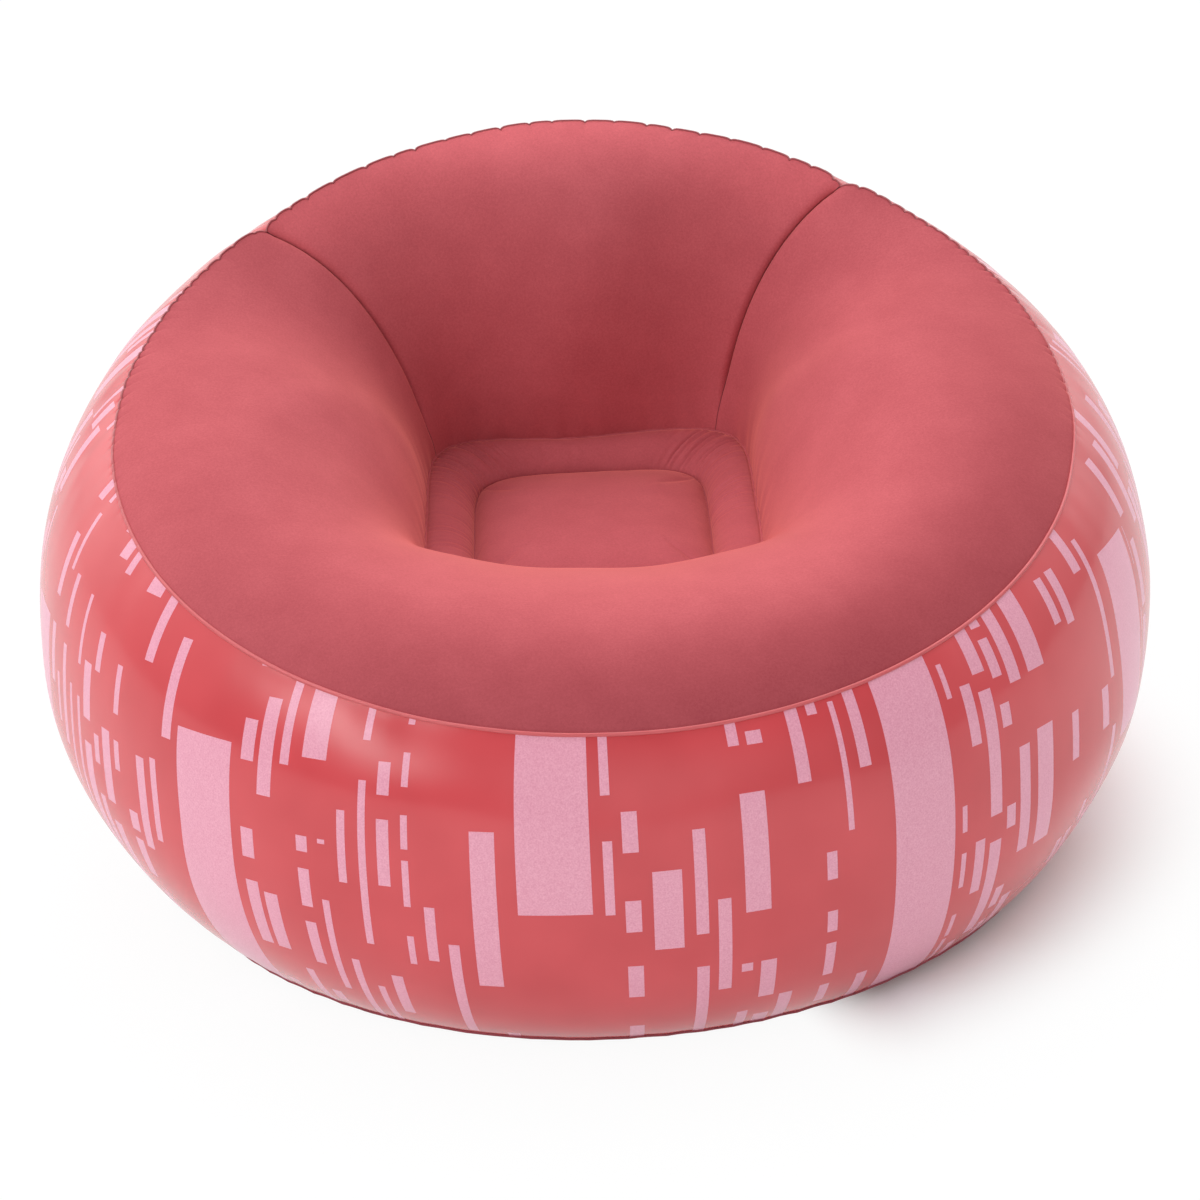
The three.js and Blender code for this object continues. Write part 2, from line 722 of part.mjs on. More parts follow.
function addPiece(parent, name, geometry, material) {
  const mesh = new THREE.Mesh(closedBody(geometry), material);
  mesh.geometry.computeVertexNormals();
  mesh.name = name;
  parent.add(mesh);
}

addPiece(chair, "side_wall", sideWall, printedFilm);
addPiece(chair, "bottom_panel", bottomPanel, plainFilm);
addPiece(chair, "arm_panel", armPanel, flock);
addPiece(chair, "back_panel", backPanel, flock);
addPiece(chair, "seat_channel_panel", seatChannel, flock);
addPiece(chair, "seat_pad_panel", seatPad, flock);
addPiece(chair, "recess_tie_wall", tieWall(recessSeam, seamRadius), plainFilm);
addPiece(chair, "pad_tie_wall", tieWall(padSeam, tieSeamRadius), plainFilm);
addPiece(chair, "rim_seam", rimBead, weld);
addPiece(chair, "base_seam", baseBead, weld);
addPiece(chair, "back_seam_right", backSeamBead(1), weld);
addPiece(chair, "back_seam_left", backSeamBead(-1), weld);
addPiece(chair, "recess_seam", recessBead, weld);
addPiece(chair, "pad_seam", padBead, weld);
addPiece(valve, "valve_base", base, valvePlastic);
addPiece(valve, "valve_insert", insert, valvePlastic);
addPiece(valve, "valve_flap", flap, silicone);
addPiece(valve, "valve_cap", cap, valvePlastic);
addPiece(valve, "insert_gasket", ring(neckBore, gasketOuter, lipTop + play, gasketTop), silicone);
addPiece(valve, "cap_gasket", ring(insertBore, collarRadius, collarTop + play, capGasketTop), silicone);
addPiece(valve, "insert_tether", insertTether, valvePlastic);
addPiece(valve, "cap_tether", capTether, valvePlastic);

export default chair;
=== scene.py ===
"""A round inflatable lounge chair: the soft films, their seams and pleats, the screw valve, the
finishes, the light and the camera. Sizes in the shape functions are in millimetres, as on the part.
"""
import json
import bpy
import numpy as np
from mathutils import Matrix


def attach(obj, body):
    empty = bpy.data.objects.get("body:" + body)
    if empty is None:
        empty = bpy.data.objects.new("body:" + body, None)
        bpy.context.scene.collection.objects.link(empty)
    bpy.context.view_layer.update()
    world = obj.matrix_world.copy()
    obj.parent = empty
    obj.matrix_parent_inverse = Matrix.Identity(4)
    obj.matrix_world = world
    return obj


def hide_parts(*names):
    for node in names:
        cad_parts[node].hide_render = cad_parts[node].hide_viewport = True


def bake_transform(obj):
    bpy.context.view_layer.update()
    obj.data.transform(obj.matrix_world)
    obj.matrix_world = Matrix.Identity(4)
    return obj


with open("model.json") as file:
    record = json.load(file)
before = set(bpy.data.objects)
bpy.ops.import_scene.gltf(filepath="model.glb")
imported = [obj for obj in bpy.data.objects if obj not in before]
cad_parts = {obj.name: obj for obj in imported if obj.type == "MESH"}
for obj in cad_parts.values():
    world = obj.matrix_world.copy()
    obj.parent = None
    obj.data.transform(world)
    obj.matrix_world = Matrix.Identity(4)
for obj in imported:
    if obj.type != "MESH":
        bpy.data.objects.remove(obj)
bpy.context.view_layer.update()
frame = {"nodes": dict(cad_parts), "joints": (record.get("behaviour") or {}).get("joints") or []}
MM = 0.001
UP = np.array([0.0, 0.0, 1.0])
rng = np.random.default_rng(12)

# The chamber and the seat: a tuple of three is for the front, the side and the back
BELLY_RADIUS = 560.0
BELLY_HEIGHT = (183.0, 221.0, 338.0)
BASE_RADIUS = (513.0, 455.0, 440.0)
BASE_HEIGHT = 12.0
RIM_RADIUS = (516.0, 458.0, 329.0)
RIM_HEIGHT = (327.0, 470.0, 616.0)
SEAT_MIDDLE = np.array([6.5, 60.0, 0.0])
SEAT_TURN = np.radians(-5.0)
RECESS_HALF = (170.0, 200.0)
RECESS_HEIGHT = 287.0
RECESS_SAG = np.array([0.0, 10.0, 2.0])
SAG_SPREAD = 0.38
CHANNEL_WIDTH = (48.0, 51.0)
PAD_HALF = (RECESS_HALF[0] - CHANNEL_WIDTH[0], RECESS_HALF[1] - CHANNEL_WIDTH[1])
PAD_HEIGHT = 258.0
CHANNEL_CROWN = 13.0
CHANNEL_ARCH = 0.72
PAD_CROWN = 27.0
PAD_DOME = (2.8, 0.62)
FLOOR_INSET = 55.0
BASE_LIFT = (46.0, 43.0, 48.0)
RIM_ARRIVAL = (47.0, 38.0, 26.0)
CROWN_AT_RIM = (54.0, 59.0, 60.0)
RIM_DRAW = (0.7, 1.0, 0.92)
CROWN_AT_RECESS = (45.0, 62.0, 26.0)
BACK_SEAM_AT_RIM = np.radians(52.0)
BACK_SEAM_AT_RECESS = np.radians(41.5)
VALLEY_ON_BACK = np.radians(20.0)
VALLEY_ON_ARMS = np.radians(31.0)
VALLEY_DEPTH = 0.58
CORNER_POWER = 5.5

# Film edges, creases and pleats
FLOCKED_FILM = 0.8
PLAIN_FILM = 0.4
RIM_WELT = 1.9
BASE_WELT = 1.6
SEAT_WELD = 1.9
BACK_WELD = 1.0
# Creases along a back seam: a depth and a reach
CREASES = ((7.0, 1.9), (2.5, 13.0))
# Folds at the channel's corners: a direction, a depth and a spread in degrees
CORNER_FOLDS = ((50, 7.0, 12), (131, 8.5, 12), (229, 2.5, 9), (311, 2.5, 9))
FOLD_PERIOD = 2.6
# The notch where a back seam ends, and how far it runs down the wall and the panel
NOTCH_DEPTH = 10.0
NOTCH_REACH = 10.0
WALL_FADE = 34.0
PANEL_FADE = 24.0

# Pleats along the rim: ranges of their distance, depth and reach, and what the back adds to them
PINCH_GAP, PINCH_GAP_AT_BACK = (12, 19), (4, 22)
PINCH_DEPTH = (1.6, 3.8)
PINCH_REACH, PINCH_REACH_AT_BACK = (4, 9), (3, 22)
PINCHES_FADE = np.radians([76, 122])

# Waves beside a seam: a depth, a wavelength and a reach
BASE_PUCKERS = (1.5, 95, 26)
RIM_RIPPLES = (0.4, 60, 60)
RIM_WANDER = (0.7, 170, 70)
SEAT_GATHERS = (0.6, 34, 26)
# Puckers round the bottom panel: a depth and a wavelength
BOTTOM_PUCKERS = (1.6, 52)
# Slow swells: a depth, a wavelength along, another across, and how far they stay off the seams
WALL_SWELL = (0.6, 420, 260, 60)
PANEL_SWELL = (0.8, 330, 230, 70)
# Mean radii along which the waves are measured
MEAN_RECESS = 190.0
MEAN_CHANNEL = 170.0
MEAN_BOTTOM = 450.0

# Screw valve, as packed
NECK_BORE = 18.6
NECK_OUTER = NECK_BORE + 2.4
NECK_DEPTH = 9.0
LIP_TOP = 3.0
LIP_THICKNESS = 1.4
LIP_RADIUS = NECK_OUTER + 2.5
FLANGE_RADIUS = NECK_OUTER + 9.0
FLANGE_THICKNESS = 1.2
PLAY = 0.3
FLANGE_TOP = -PLAIN_FILM - PLAY
THREAD_DEPTH = 0.9
THREAD_CLEARANCE = 0.5
THREAD_ROOT, THREAD_TIP = 0.2, 0.1
INSERT_PITCH = 4.0
INSERT_LEAD = 1.2
CAP_PITCH = 3.0
CAP_TURNS = 1.5
SKIRT_OUTER = NECK_BORE - THREAD_DEPTH - THREAD_CLEARANCE
SKIRT_DEPTH = 7.0
INSERT_BORE = SKIRT_OUTER - 3.2
GASKET_THICKNESS = 1.0
GASKET_INSET = 0.6
GASKET_OUTER = LIP_RADIUS + GASKET_INSET
GASKET_TOP = LIP_TOP + PLAY + GASKET_THICKNESS
SPIGOT_RADIUS = GASKET_OUTER - 2 * GASKET_INSET
SPIGOT_FOOT = GASKET_TOP + PLAY
STRAP_THICKNESS = 0.9
STRAP_WIDTH = 6.0
STRAP_REACH = 6.0
RING_WIDTH = 2.8
INSERT_FLANGE_RADIUS = SPIGOT_RADIUS + PLAY + RING_WIDTH
INSERT_FLANGE_FOOT = SPIGOT_FOOT + STRAP_THICKNESS + PLAY
INSERT_FLANGE_TOP = INSERT_FLANGE_FOOT + 1.6
COLLAR_RADIUS = INSERT_BORE + 4.5
COLLAR_TOP = INSERT_FLANGE_TOP + 2.2
SPIDER_THICKNESS = 1.5
SPIDER_RIM = 2.5
HUB_RADIUS = 4.0
HUB_HOLE = 1.4
SPOKE_WIDTH = 2.2
FLAP_RADIUS = INSERT_BORE - SPIDER_RIM + 1.5
FLAP_THICKNESS = 1.1
FLAP_TRAVEL = 3.0
STEM_RADIUS = 1.0
BULB_RADIUS = 2.0
BULB_HEIGHT = 1.4
CAP_GASKET_TOP = COLLAR_TOP + PLAY + GASKET_THICKNESS
CAP_SPIGOT_RADIUS = COLLAR_RADIUS - GASKET_INSET
CAP_SPIGOT_FOOT = CAP_GASKET_TOP + PLAY
CAP_RADIUS = CAP_SPIGOT_RADIUS + PLAY + RING_WIDTH
CAP_FOOT = CAP_SPIGOT_FOOT + STRAP_THICKNESS + PLAY
CAP_TOP = CAP_FOOT + 1.8
CAP_DISH = 0.5
CAP_RIM = 2.6
PLUG_OUTER = INSERT_BORE - THREAD_DEPTH - THREAD_CLEARANCE
PLUG_BORE = PLUG_OUTER - 2.0
PLUG_FOOT = CAP_FOOT - 7.4 - CAP_PITCH / 2
CAP_THREAD_START = INSERT_FLANGE_FOOT - CAP_PITCH
GRIP_HEIGHT = 4.0
GRIP_THICKNESS = 3.0
VALVE_FLAT = 41.0
VALVE_BLEND = 95.0
WINDOW_HALF = 28.0
WINDOW_RINGS = (26.0, 24.4, 22.8)


def blend(values, azimuth):
    """The front, side and back value joined by the parabola in the sine of the azimuth."""
    front, side, back = values
    q = np.sin(azimuth)
    return side + (back - front) / 2 * q + ((back + front) / 2 - side) * q * q


def outward(azimuth):
    """The level unit vector at an azimuth, from +X towards +Y."""
    return np.stack([np.cos(azimuth), np.sin(azimuth), 0 * azimuth], -1)


def unit(vectors):
    """Vectors over their lengths."""
    return vectors / np.maximum(np.linalg.norm(vectors, axis=-1, keepdims=True), 1e-12)


def dot(a, b):
    """The dot product, kept as a last axis."""
    return np.sum(a * b, axis=-1, keepdims=True)


def ease(value, low, high):
    """0 below low, 1 above high, and the cubic 3t^2 - 2t^3 between them."""
    t = np.clip((value - low) / (high - low), 0, 1)
    return t * t * (3 - 2 * t)


def inclined(flat, rise, degrees):
    """The direction that leaves flat towards rise by an angle."""
    angle = np.radians(degrees)[..., None]
    return flat * np.cos(angle) + rise * np.sin(angle)


def section(start, leaving, end, arriving, share, draw=1.0):
    """A cubic between two seams: its handles are 2/3 of the chord over one plus the cosine of the
    angle between handle and chord, as on a circular arc, and the first is drawn in by a factor."""
    chord = end - start
    reach = np.linalg.norm(chord, axis=-1, keepdims=True)
    along = chord / reach
    second = start + leaving * draw * (2 / 3) * reach / (1 + dot(leaving, along))
    third = end - arriving * (2 / 3) * reach / (1 + dot(arriving, along))
    t = share[..., None]
    s = 1 - t
    return s**3 * start + 3 * s * s * t * second + 3 * s * t * t * third + t**3 * end


def base_line(azimuth):
    """The base seam: level, with a radius that changes with the azimuth."""
    return outward(azimuth) * blend(BASE_RADIUS, azimuth)[..., None] + UP * BASE_HEIGHT


def rim_line(azimuth):
    """The rim seam: its radius and its height both change with the azimuth."""
    flat = outward(azimuth) * blend(RIM_RADIUS, azimuth)[..., None]
    return flat + UP * blend(RIM_HEIGHT, azimuth)[..., None]


def rounded_rectangle(azimuth, half, height):
    """Polar radius of a superellipse, turned with the seat, about the seat's middle."""
    own = azimuth - SEAT_TURN
    across = np.abs(np.cos(own) / half[0]) ** CORNER_POWER
    along = np.abs(np.sin(own) / half[1]) ** CORNER_POWER
    radius = (across + along) ** (-1 / CORNER_POWER)
    return SEAT_MIDDLE + outward(azimuth) * radius[..., None] + UP * height


def belly_point(azimuth):
    """The widest line: a circle seen from above, with a height that changes with the azimuth."""
    return outward(azimuth) * BELLY_RADIUS + UP * blend(BELLY_HEIGHT, azimuth)[..., None]


def wall_point(azimuth, share):
    """The wall at a share from 0 at the base seam through 1 at the belly to 2 at the rim seam."""
    out = outward(azimuth)
    belly = belly_point(azimuth)
    upright = np.broadcast_to(UP, belly.shape)
    lift = inclined(out, UP, blend(BASE_LIFT, azimuth))
    lower = section(base_line(azimuth), lift, belly, upright, np.clip(share, 0, 1))
    arrival = inclined(-out, UP, blend(RIM_ARRIVAL, azimuth))
    upper = section(belly, upright, rim_line(azimuth), arrival, np.clip(share - 1, 0, 1))
    return np.where(share[..., None] < 1, lower, upper)


def from_back(azimuth):
    """The angle between an azimuth and the back, from 0 to pi."""
    return np.abs((azimuth - np.pi / 2 + np.pi) % (2 * np.pi) - np.pi)


def seam_angle(share):
    """A back seam's angle from the back at a share of its way from the rim to the recess."""
    return BACK_SEAM_AT_RIM + (BACK_SEAM_AT_RECESS - BACK_SEAM_AT_RIM) * share


def recess_line(azimuth):
    """The recess seam, whose far side sags between its corners, forwards and down."""
    sag = np.exp(-((from_back(azimuth) / SAG_SPREAD) ** 2))
    return rounded_rectangle(azimuth, RECESS_HALF, RECESS_HEIGHT) - sag[..., None] * RECESS_SAG


def top_point(azimuth, share):
    """A top panel from 0 at the rim seam to 1 at the recess seam. The crown's angles flatten
    towards a back seam by a bell of the angle to it, wider on the arms than on the back."""
    rim = rim_line(azimuth)
    recess = recess_line(azimuth)
    along = unit(recess - rim)
    rise = unit(UP - along * along[..., 2:])
    beside = from_back(azimuth) - seam_angle(share)
    reach = np.where(beside > 0, VALLEY_ON_ARMS, VALLEY_ON_BACK)
    fade = 1 - VALLEY_DEPTH * np.exp(-((beside / reach) ** 2))
    leaving = inclined(along, rise, blend(CROWN_AT_RIM, azimuth) * fade)
    arriving = inclined(along, -rise, blend(CROWN_AT_RECESS, azimuth) * fade)
    draw = blend(RIM_DRAW, azimuth)[..., None]
    return section(rim, leaving, recess, arriving, share, draw)


def top_normal(azimuth, share):
    """The unit normal of a top panel from small steps in azimuth and in share."""
    step = 0.002
    across = top_point(azimuth + step, share) - top_point(azimuth - step, share)
    low, high = np.clip(share - step, 0, 1), np.clip(share + step, 0, 1)
    return unit(np.cross(across, top_point(azimuth, high) - top_point(azimuth, low)))


def travelled(points):
    """Length along each column from its first row."""
    steps = np.linalg.norm(np.diff(points, axis=1), axis=-1)
    return np.concatenate([np.zeros((len(points), 1)), np.cumsum(steps, axis=1)], axis=1)


def ring_normals(points):
    """Unit normals of a grid whose columns close on themselves."""
    across = np.roll(points, -1, axis=0) - np.roll(points, 1, axis=0)
    return unit(np.cross(across, np.gradient(points, axis=1)))


def soft_wave(position, length, seed, girth=None, parts=5):
    """A smooth wandering line between about -1 and 1: a few sines of nearby wavelengths, which
    close on themselves after a girth."""
    own = np.random.default_rng(seed)
    waves = own.uniform(0.6, 1.7, parts) / length
    if girth:
        waves = np.maximum(np.round(waves * girth), 1) / girth
    phases = own.uniform(0, 2 * np.pi, parts)
    return np.sin(position[..., None] * 2 * np.pi * waves + phases).sum(-1) / np.sqrt(parts)


def wave_near(kind, position, away, seed, girth):
    """A wandering line of a kind's depth and wavelength that fades away from a seam."""
    depth, length, reach = kind
    return depth * soft_wave(position, length, seed, girth) * np.exp(-away / reach)


def swell(kind, azimuth, position, girth, low, high, seed):
    """A slow unevenness that is nothing at both seams: a wave along times a wave across, which
    drifts with the sine of the azimuth."""
    depth, length, across, reach = kind
    waves = soft_wave(position, length, seed, girth)
    waves = waves * soft_wave(low + 60 * np.sin(azimuth), across, seed + 1)
    return depth * waves * np.clip(low / reach, 0, 1) * np.clip(high / reach, 0, 1)


# The rim as a fine polyline, to go between an azimuth and a length
dense_azimuth = np.linspace(0, 2 * np.pi, 4001)
rim_steps = np.linalg.norm(np.diff(rim_line(dense_azimuth), axis=0), axis=-1)
rim_travel = np.concatenate([[0], np.cumsum(rim_steps)])
RIM_LENGTH = rim_travel[-1]


def rim_length_at(azimuth):
    """Length round the rim, from azimuth 0, read off the fine polyline."""
    return np.interp(azimuth % (2 * np.pi), dense_azimuth, rim_travel)


def rim_azimuth_at(length):
    """The azimuth at a length round the rim."""
    return np.interp(length % RIM_LENGTH, rim_travel, dense_azimuth)


def back_share(length):
    """1 between the back seams' ends and 0 a little past them."""
    return 1 - ease(from_back(rim_azimuth_at(length)), BACK_SEAM_AT_RIM, BACK_SEAM_AT_RIM + 0.2)


# The pleats' places: uneven distances where the back and the upper arms are drawn in
pinch_at = [0.0]
while pinch_at[-1] < RIM_LENGTH - 20:
    on_back = back_share(pinch_at[-1])
    pinch_at.append(pinch_at[-1] + rng.uniform(*PINCH_GAP) + on_back * rng.uniform(*PINCH_GAP_AT_BACK))
pinch_at = np.array(pinch_at[:-1])
# Full at the back, fading towards the sides, and none along the front
pinch_gain = 1 - ease(from_back(rim_azimuth_at(pinch_at)), *PINCHES_FADE)
pinch_at, pinch_gain = pinch_at[pinch_gain > 0], pinch_gain[pinch_gain > 0]
pinch_depth = pinch_gain * rng.uniform(*PINCH_DEPTH, len(pinch_at))
more_reach = back_share(pinch_at)
pinch_reach = rng.uniform(*PINCH_REACH, len(pinch_at))
pinch_reach = pinch_reach + more_reach * rng.uniform(*PINCH_REACH_AT_BACK, len(pinch_at))

# Columns once round: a few close to each pinch and to each back seam
COLUMN_STEP = 9.0
LEAST_STEP = 0.75
LEAST_FROM_SEAM = 0.7
near = np.array([-8.5, -4.4, -2.1, -0.8, 0.0, 0.8, 2.1, 4.4, 8.5])
seam_near = np.array([0.9, 2.0, 3.4, 5.2, 7.6, 11.0, 15.5, 22.0])
seam_azimuths = np.array([np.pi / 2 - BACK_SEAM_AT_RIM, np.pi / 2 + BACK_SEAM_AT_RIM])
seam_lengths = rim_length_at(seam_azimuths)
lengths = np.concatenate([
    (pinch_at[:, None] + near).ravel(),
    (seam_lengths[:, None] + np.concatenate([-seam_near, seam_near])).ravel(),
    np.arange(0, RIM_LENGTH, COLUMN_STEP),
])
lengths = np.sort(lengths % RIM_LENGTH)
lengths = lengths[np.concatenate([[True], np.diff(lengths) > LEAST_STEP])]
lengths = lengths[np.min(np.abs(lengths[:, None] - seam_lengths), axis=1) > LEAST_FROM_SEAM]
column_length = np.sort(np.concatenate([lengths, seam_lengths]))
column_azimuth = rim_azimuth_at(column_length)
column_azimuth[np.searchsorted(column_length, seam_lengths)] = seam_azimuths
right_seam, left_seam = np.searchsorted(column_length, seam_lengths)


def pinch_field(length, away):
    """Depth of the pleats at a length round the rim and a distance away from it: each is a cusp
    that widens and fades as it runs out. Only the pleats before and after a place count there."""
    depth = np.zeros(np.broadcast(length, away).shape)
    order = np.searchsorted(pinch_at, length) % len(pinch_at)
    before = (order - 1) % len(pinch_at)
    for index, gap in ((before, length - pinch_at[before]), (order, pinch_at[order] - length)):
        width = 2.0 + 0.2 * away
        run_out = np.exp(-away / pinch_reach[index])
        depth = depth + pinch_depth[index] * np.exp(-(gap % RIM_LENGTH) / width) * run_out
    return depth


def seam_gap(length):
    """Distance round the rim to the nearer back seam's end."""
    gaps = np.abs((length[..., None] - seam_lengths + RIM_LENGTH / 2) % RIM_LENGTH - RIM_LENGTH / 2)
    return gaps.min(-1)


def rim_shift(azimuth, length, away, fade):
    """How the films near the rim are drawn in: by the pleats, inwards and down from the rim's ridge,
    and by a notch towards the seat where a back seam ends."""
    rim = rim_line(azimuth)
    towards_seat = unit(recess_line(azimuth) - rim)
    into = -unit(outward(azimuth) * 0.7 + UP * 0.75)
    notch = NOTCH_DEPTH * np.exp(-seam_gap(length) / NOTCH_REACH) * np.exp(-away / fade)
    wander = wave_near(RIM_WANDER, length, away, 3, RIM_LENGTH)
    pleats = pinch_field(length, away) + wander * np.exp(-away / 160)
    return towards_seat * notch[..., None] + into * pleats[..., None]


def wall_grid(azimuth, length, rows):
    """The inflated wall with pleats at the rim, soft puckers at the base and a slow unevenness. The
    puckers and ripples are full at the back and about a third of that along the front. The second
    result is each point's height up the wall along the film."""
    a, share = np.broadcast_arrays(azimuth[:, None], rows[None, :])
    run = np.broadcast_to(length[:, None], a.shape)
    points = wall_point(a, share)
    up_wall = travelled(points)
    away = up_wall[:, -1:] - up_wall
    around, girth = a * BELLY_RADIUS, 2 * np.pi * BELLY_RADIUS
    back = 0.35 + 0.65 / (1 + np.exp((from_back(a) - 1.7) / 0.25))
    puckers = back * np.abs(wave_near(BASE_PUCKERS, around, up_wall, 21, girth))
    slow = swell(WALL_SWELL, a, around, girth, up_wall, away, 5)
    ripples = back * wave_near(RIM_RIPPLES, around, away, 8, girth) * np.clip(away / 8, 0, 1)
    points = points + ring_normals(points) * (slow + ripples - puckers)[..., None]
    return points + rim_shift(a, run, away, WALL_FADE), up_wall


def painted_shading_by_nap(azimuth, share):
    """Painted shade and painted light for the flock, laid out as the fibre's nap: 1 darkens the front
    roll's outer face, most on its +X side, as if brushed down, and -1 lightens the crest of the back,
    as if brushed up."""
    front = np.clip(0.35 * np.cos(azimuth) - 0.94 * np.sin(azimuth), 0, 1)
    back = 1 - ease(from_back(azimuth), BACK_SEAM_AT_RIM - 0.05, BACK_SEAM_AT_RIM + 0.05)
    return front * (1 - ease(share, 0.08, 0.46)) - back * (1 - ease(share, 0.0, 0.3))


def panel_grid(first, last, rows):
    """A top panel between two columns of the rim: its side edges follow the back seams, where it
    dips into the crease, and its outer edge shares the wall's pleats. The second result is its
    painted shade and light, laid out as the nap."""
    count = len(column_azimuth)
    index = np.arange(first, last + 1 if last > first else last + count + 1) % count
    own = column_azimuth[index]
    angle = from_back(own)
    share = rows[None, :]
    seam = seam_angle(share)
    side = np.where(np.cos(own) < 0, -1, 1)
    if last > first:
        moved = angle[:, None] * seam / BACK_SEAM_AT_RIM
    else:
        moved = np.pi - (np.pi - angle[:, None]) * (np.pi - seam) / (np.pi - BACK_SEAM_AT_RIM)
    a = np.pi / 2 - side[:, None] * moved
    share = np.broadcast_to(share, a.shape)
    points = top_point(a, share)
    away = travelled(points)
    to_seat = away[:, -1:] - away
    gap = np.abs(moved - seam) * np.linalg.norm((points - SEAT_MIDDLE)[..., :2], axis=-1)
    crease = sum(depth * np.exp(-gap / reach) for depth, reach in CREASES)
    crease = crease * np.clip(away / 16, 0, 1) * ease(to_seat, 12, 75)
    run = np.broadcast_to(column_length[index][:, None], a.shape)
    slow = swell(PANEL_SWELL, a, run, RIM_LENGTH, away, to_seat, 31)
    gathers = wave_near(SEAT_GATHERS, a * MEAN_RECESS, to_seat, 33, 2 * np.pi * MEAN_RECESS)
    points = points + top_normal(a, share) * (slow + gathers - crease)[..., None]
    return points + rim_shift(a, run, away, PANEL_FADE), painted_shading_by_nap(a, share)


def channel_gathers(azimuth, rows):
    """Folds that fan out across the channel at its two back corners and, fainter, at the front ones,
    a rounded crest and a sharp valley in turn."""
    own = (azimuth[:, None] - SEAT_TURN) % (2 * np.pi)
    share = rows[None, :]
    depth = 0 * own
    for corner, fold, spread in CORNER_FOLDS:
        away = np.degrees(own) - corner + 5 * (share - 0.5) * np.sign(corner % 180 - 90)
        valley = 1 - np.abs(np.cos(np.pi * away / FOLD_PERIOD + soft_wave(away, 9, corner) * 0.9))
        uneven = 0.7 + 0.3 * soft_wave(away, 5, corner + 1)
        depth = depth + fold * valley * uneven * (1 - 0.6 * share) * np.exp(-((away / spread) ** 2))
    around, girth = azimuth[:, None] * MEAN_CHANNEL, 2 * np.pi * MEAN_CHANNEL
    depth = depth + 0.5 * soft_wave(around, 30, 41, girth) ** 2
    return depth * np.sqrt(np.sin(np.pi * share) + 1e-9)


def finer(ring, times):
    """A closed ring of columns with more of them between each two, on straight lines."""
    step = (np.arange(times) / times)[None, :, None, None]
    ahead = np.roll(ring, -1, axis=0)
    return (ring[:, None] * (1 - step) + ahead[:, None] * step).reshape(-1, *ring.shape[1:])


def offset_outline(outline, reach):
    """A closed flat outline moved outwards, square to itself, by a reach."""
    ahead = unit(np.roll(outline, -1, axis=0) - np.roll(outline, 1, axis=0))
    return outline + np.cross(ahead, UP) * reach


def channel_grid(azimuth, rows):
    """The seat channel: straight across between its two seams, crowned by a rounded arch. The
    second grid is the flat frame it is cut from, a little wider than the gap it spans."""
    outer = recess_line(azimuth)
    inner = rounded_rectangle(azimuth, PAD_HALF, PAD_HEIGHT)
    share = rows[None, :, None]
    points = outer[:, None] + (inner - outer)[:, None] * share
    arch = CHANNEL_CROWN * (4 * share * (1 - share)) ** CHANNEL_ARCH
    points = points + ring_normals(points) * arch
    cut_outer = offset_outline(outer, CHANNEL_SPARE[0])
    cut_inner = offset_outline(inner, -CHANNEL_SPARE[1])
    cut = cut_outer[:, None] + (cut_inner - cut_outer)[:, None] * share
    cut[..., 2] = PAD_HEIGHT
    return points, cut


def pad_grid(count):
    """The seat pad over a square grid: each square ring of the grid becomes a ring of the rounded
    rectangle, and the dome is steep at the edge and flatter towards the middle. The second grid is
    the flat sheet it is cut from."""
    line = np.sin(np.linspace(-1, 1, count) * np.pi / 2)
    x, y = np.meshgrid(line, line, indexing="ij")
    ring = np.maximum(np.abs(x), np.abs(y))
    azimuth = np.arctan2(y, x) + SEAT_TURN
    edge = rounded_rectangle(azimuth, PAD_HALF, 0) - SEAT_MIDDLE
    flat = np.stack([ring, ring, 0 * ring], -1)
    points = SEAT_MIDDLE + edge * flat + UP * PAD_HEIGHT
    dome = PAD_CROWN * (1 - ring ** PAD_DOME[0]) ** PAD_DOME[1]
    spare = 1 + PAD_SPARE / np.linalg.norm(edge, axis=-1, keepdims=True)
    cut = SEAT_MIDDLE + edge * spare * flat + UP * PAD_HEIGHT
    return points + UP * dome[..., None], cut


# Air pressure on the seat's films, as a cloth simulation between their welded edges
CHANNEL_SPARE = (7.0, 6.0)
PAD_SPARE = 2.0
GATHER_COLUMNS = 3
AIR_PRESSURE = 4.0
FRAMES = 26
FARTHEST = 16.0


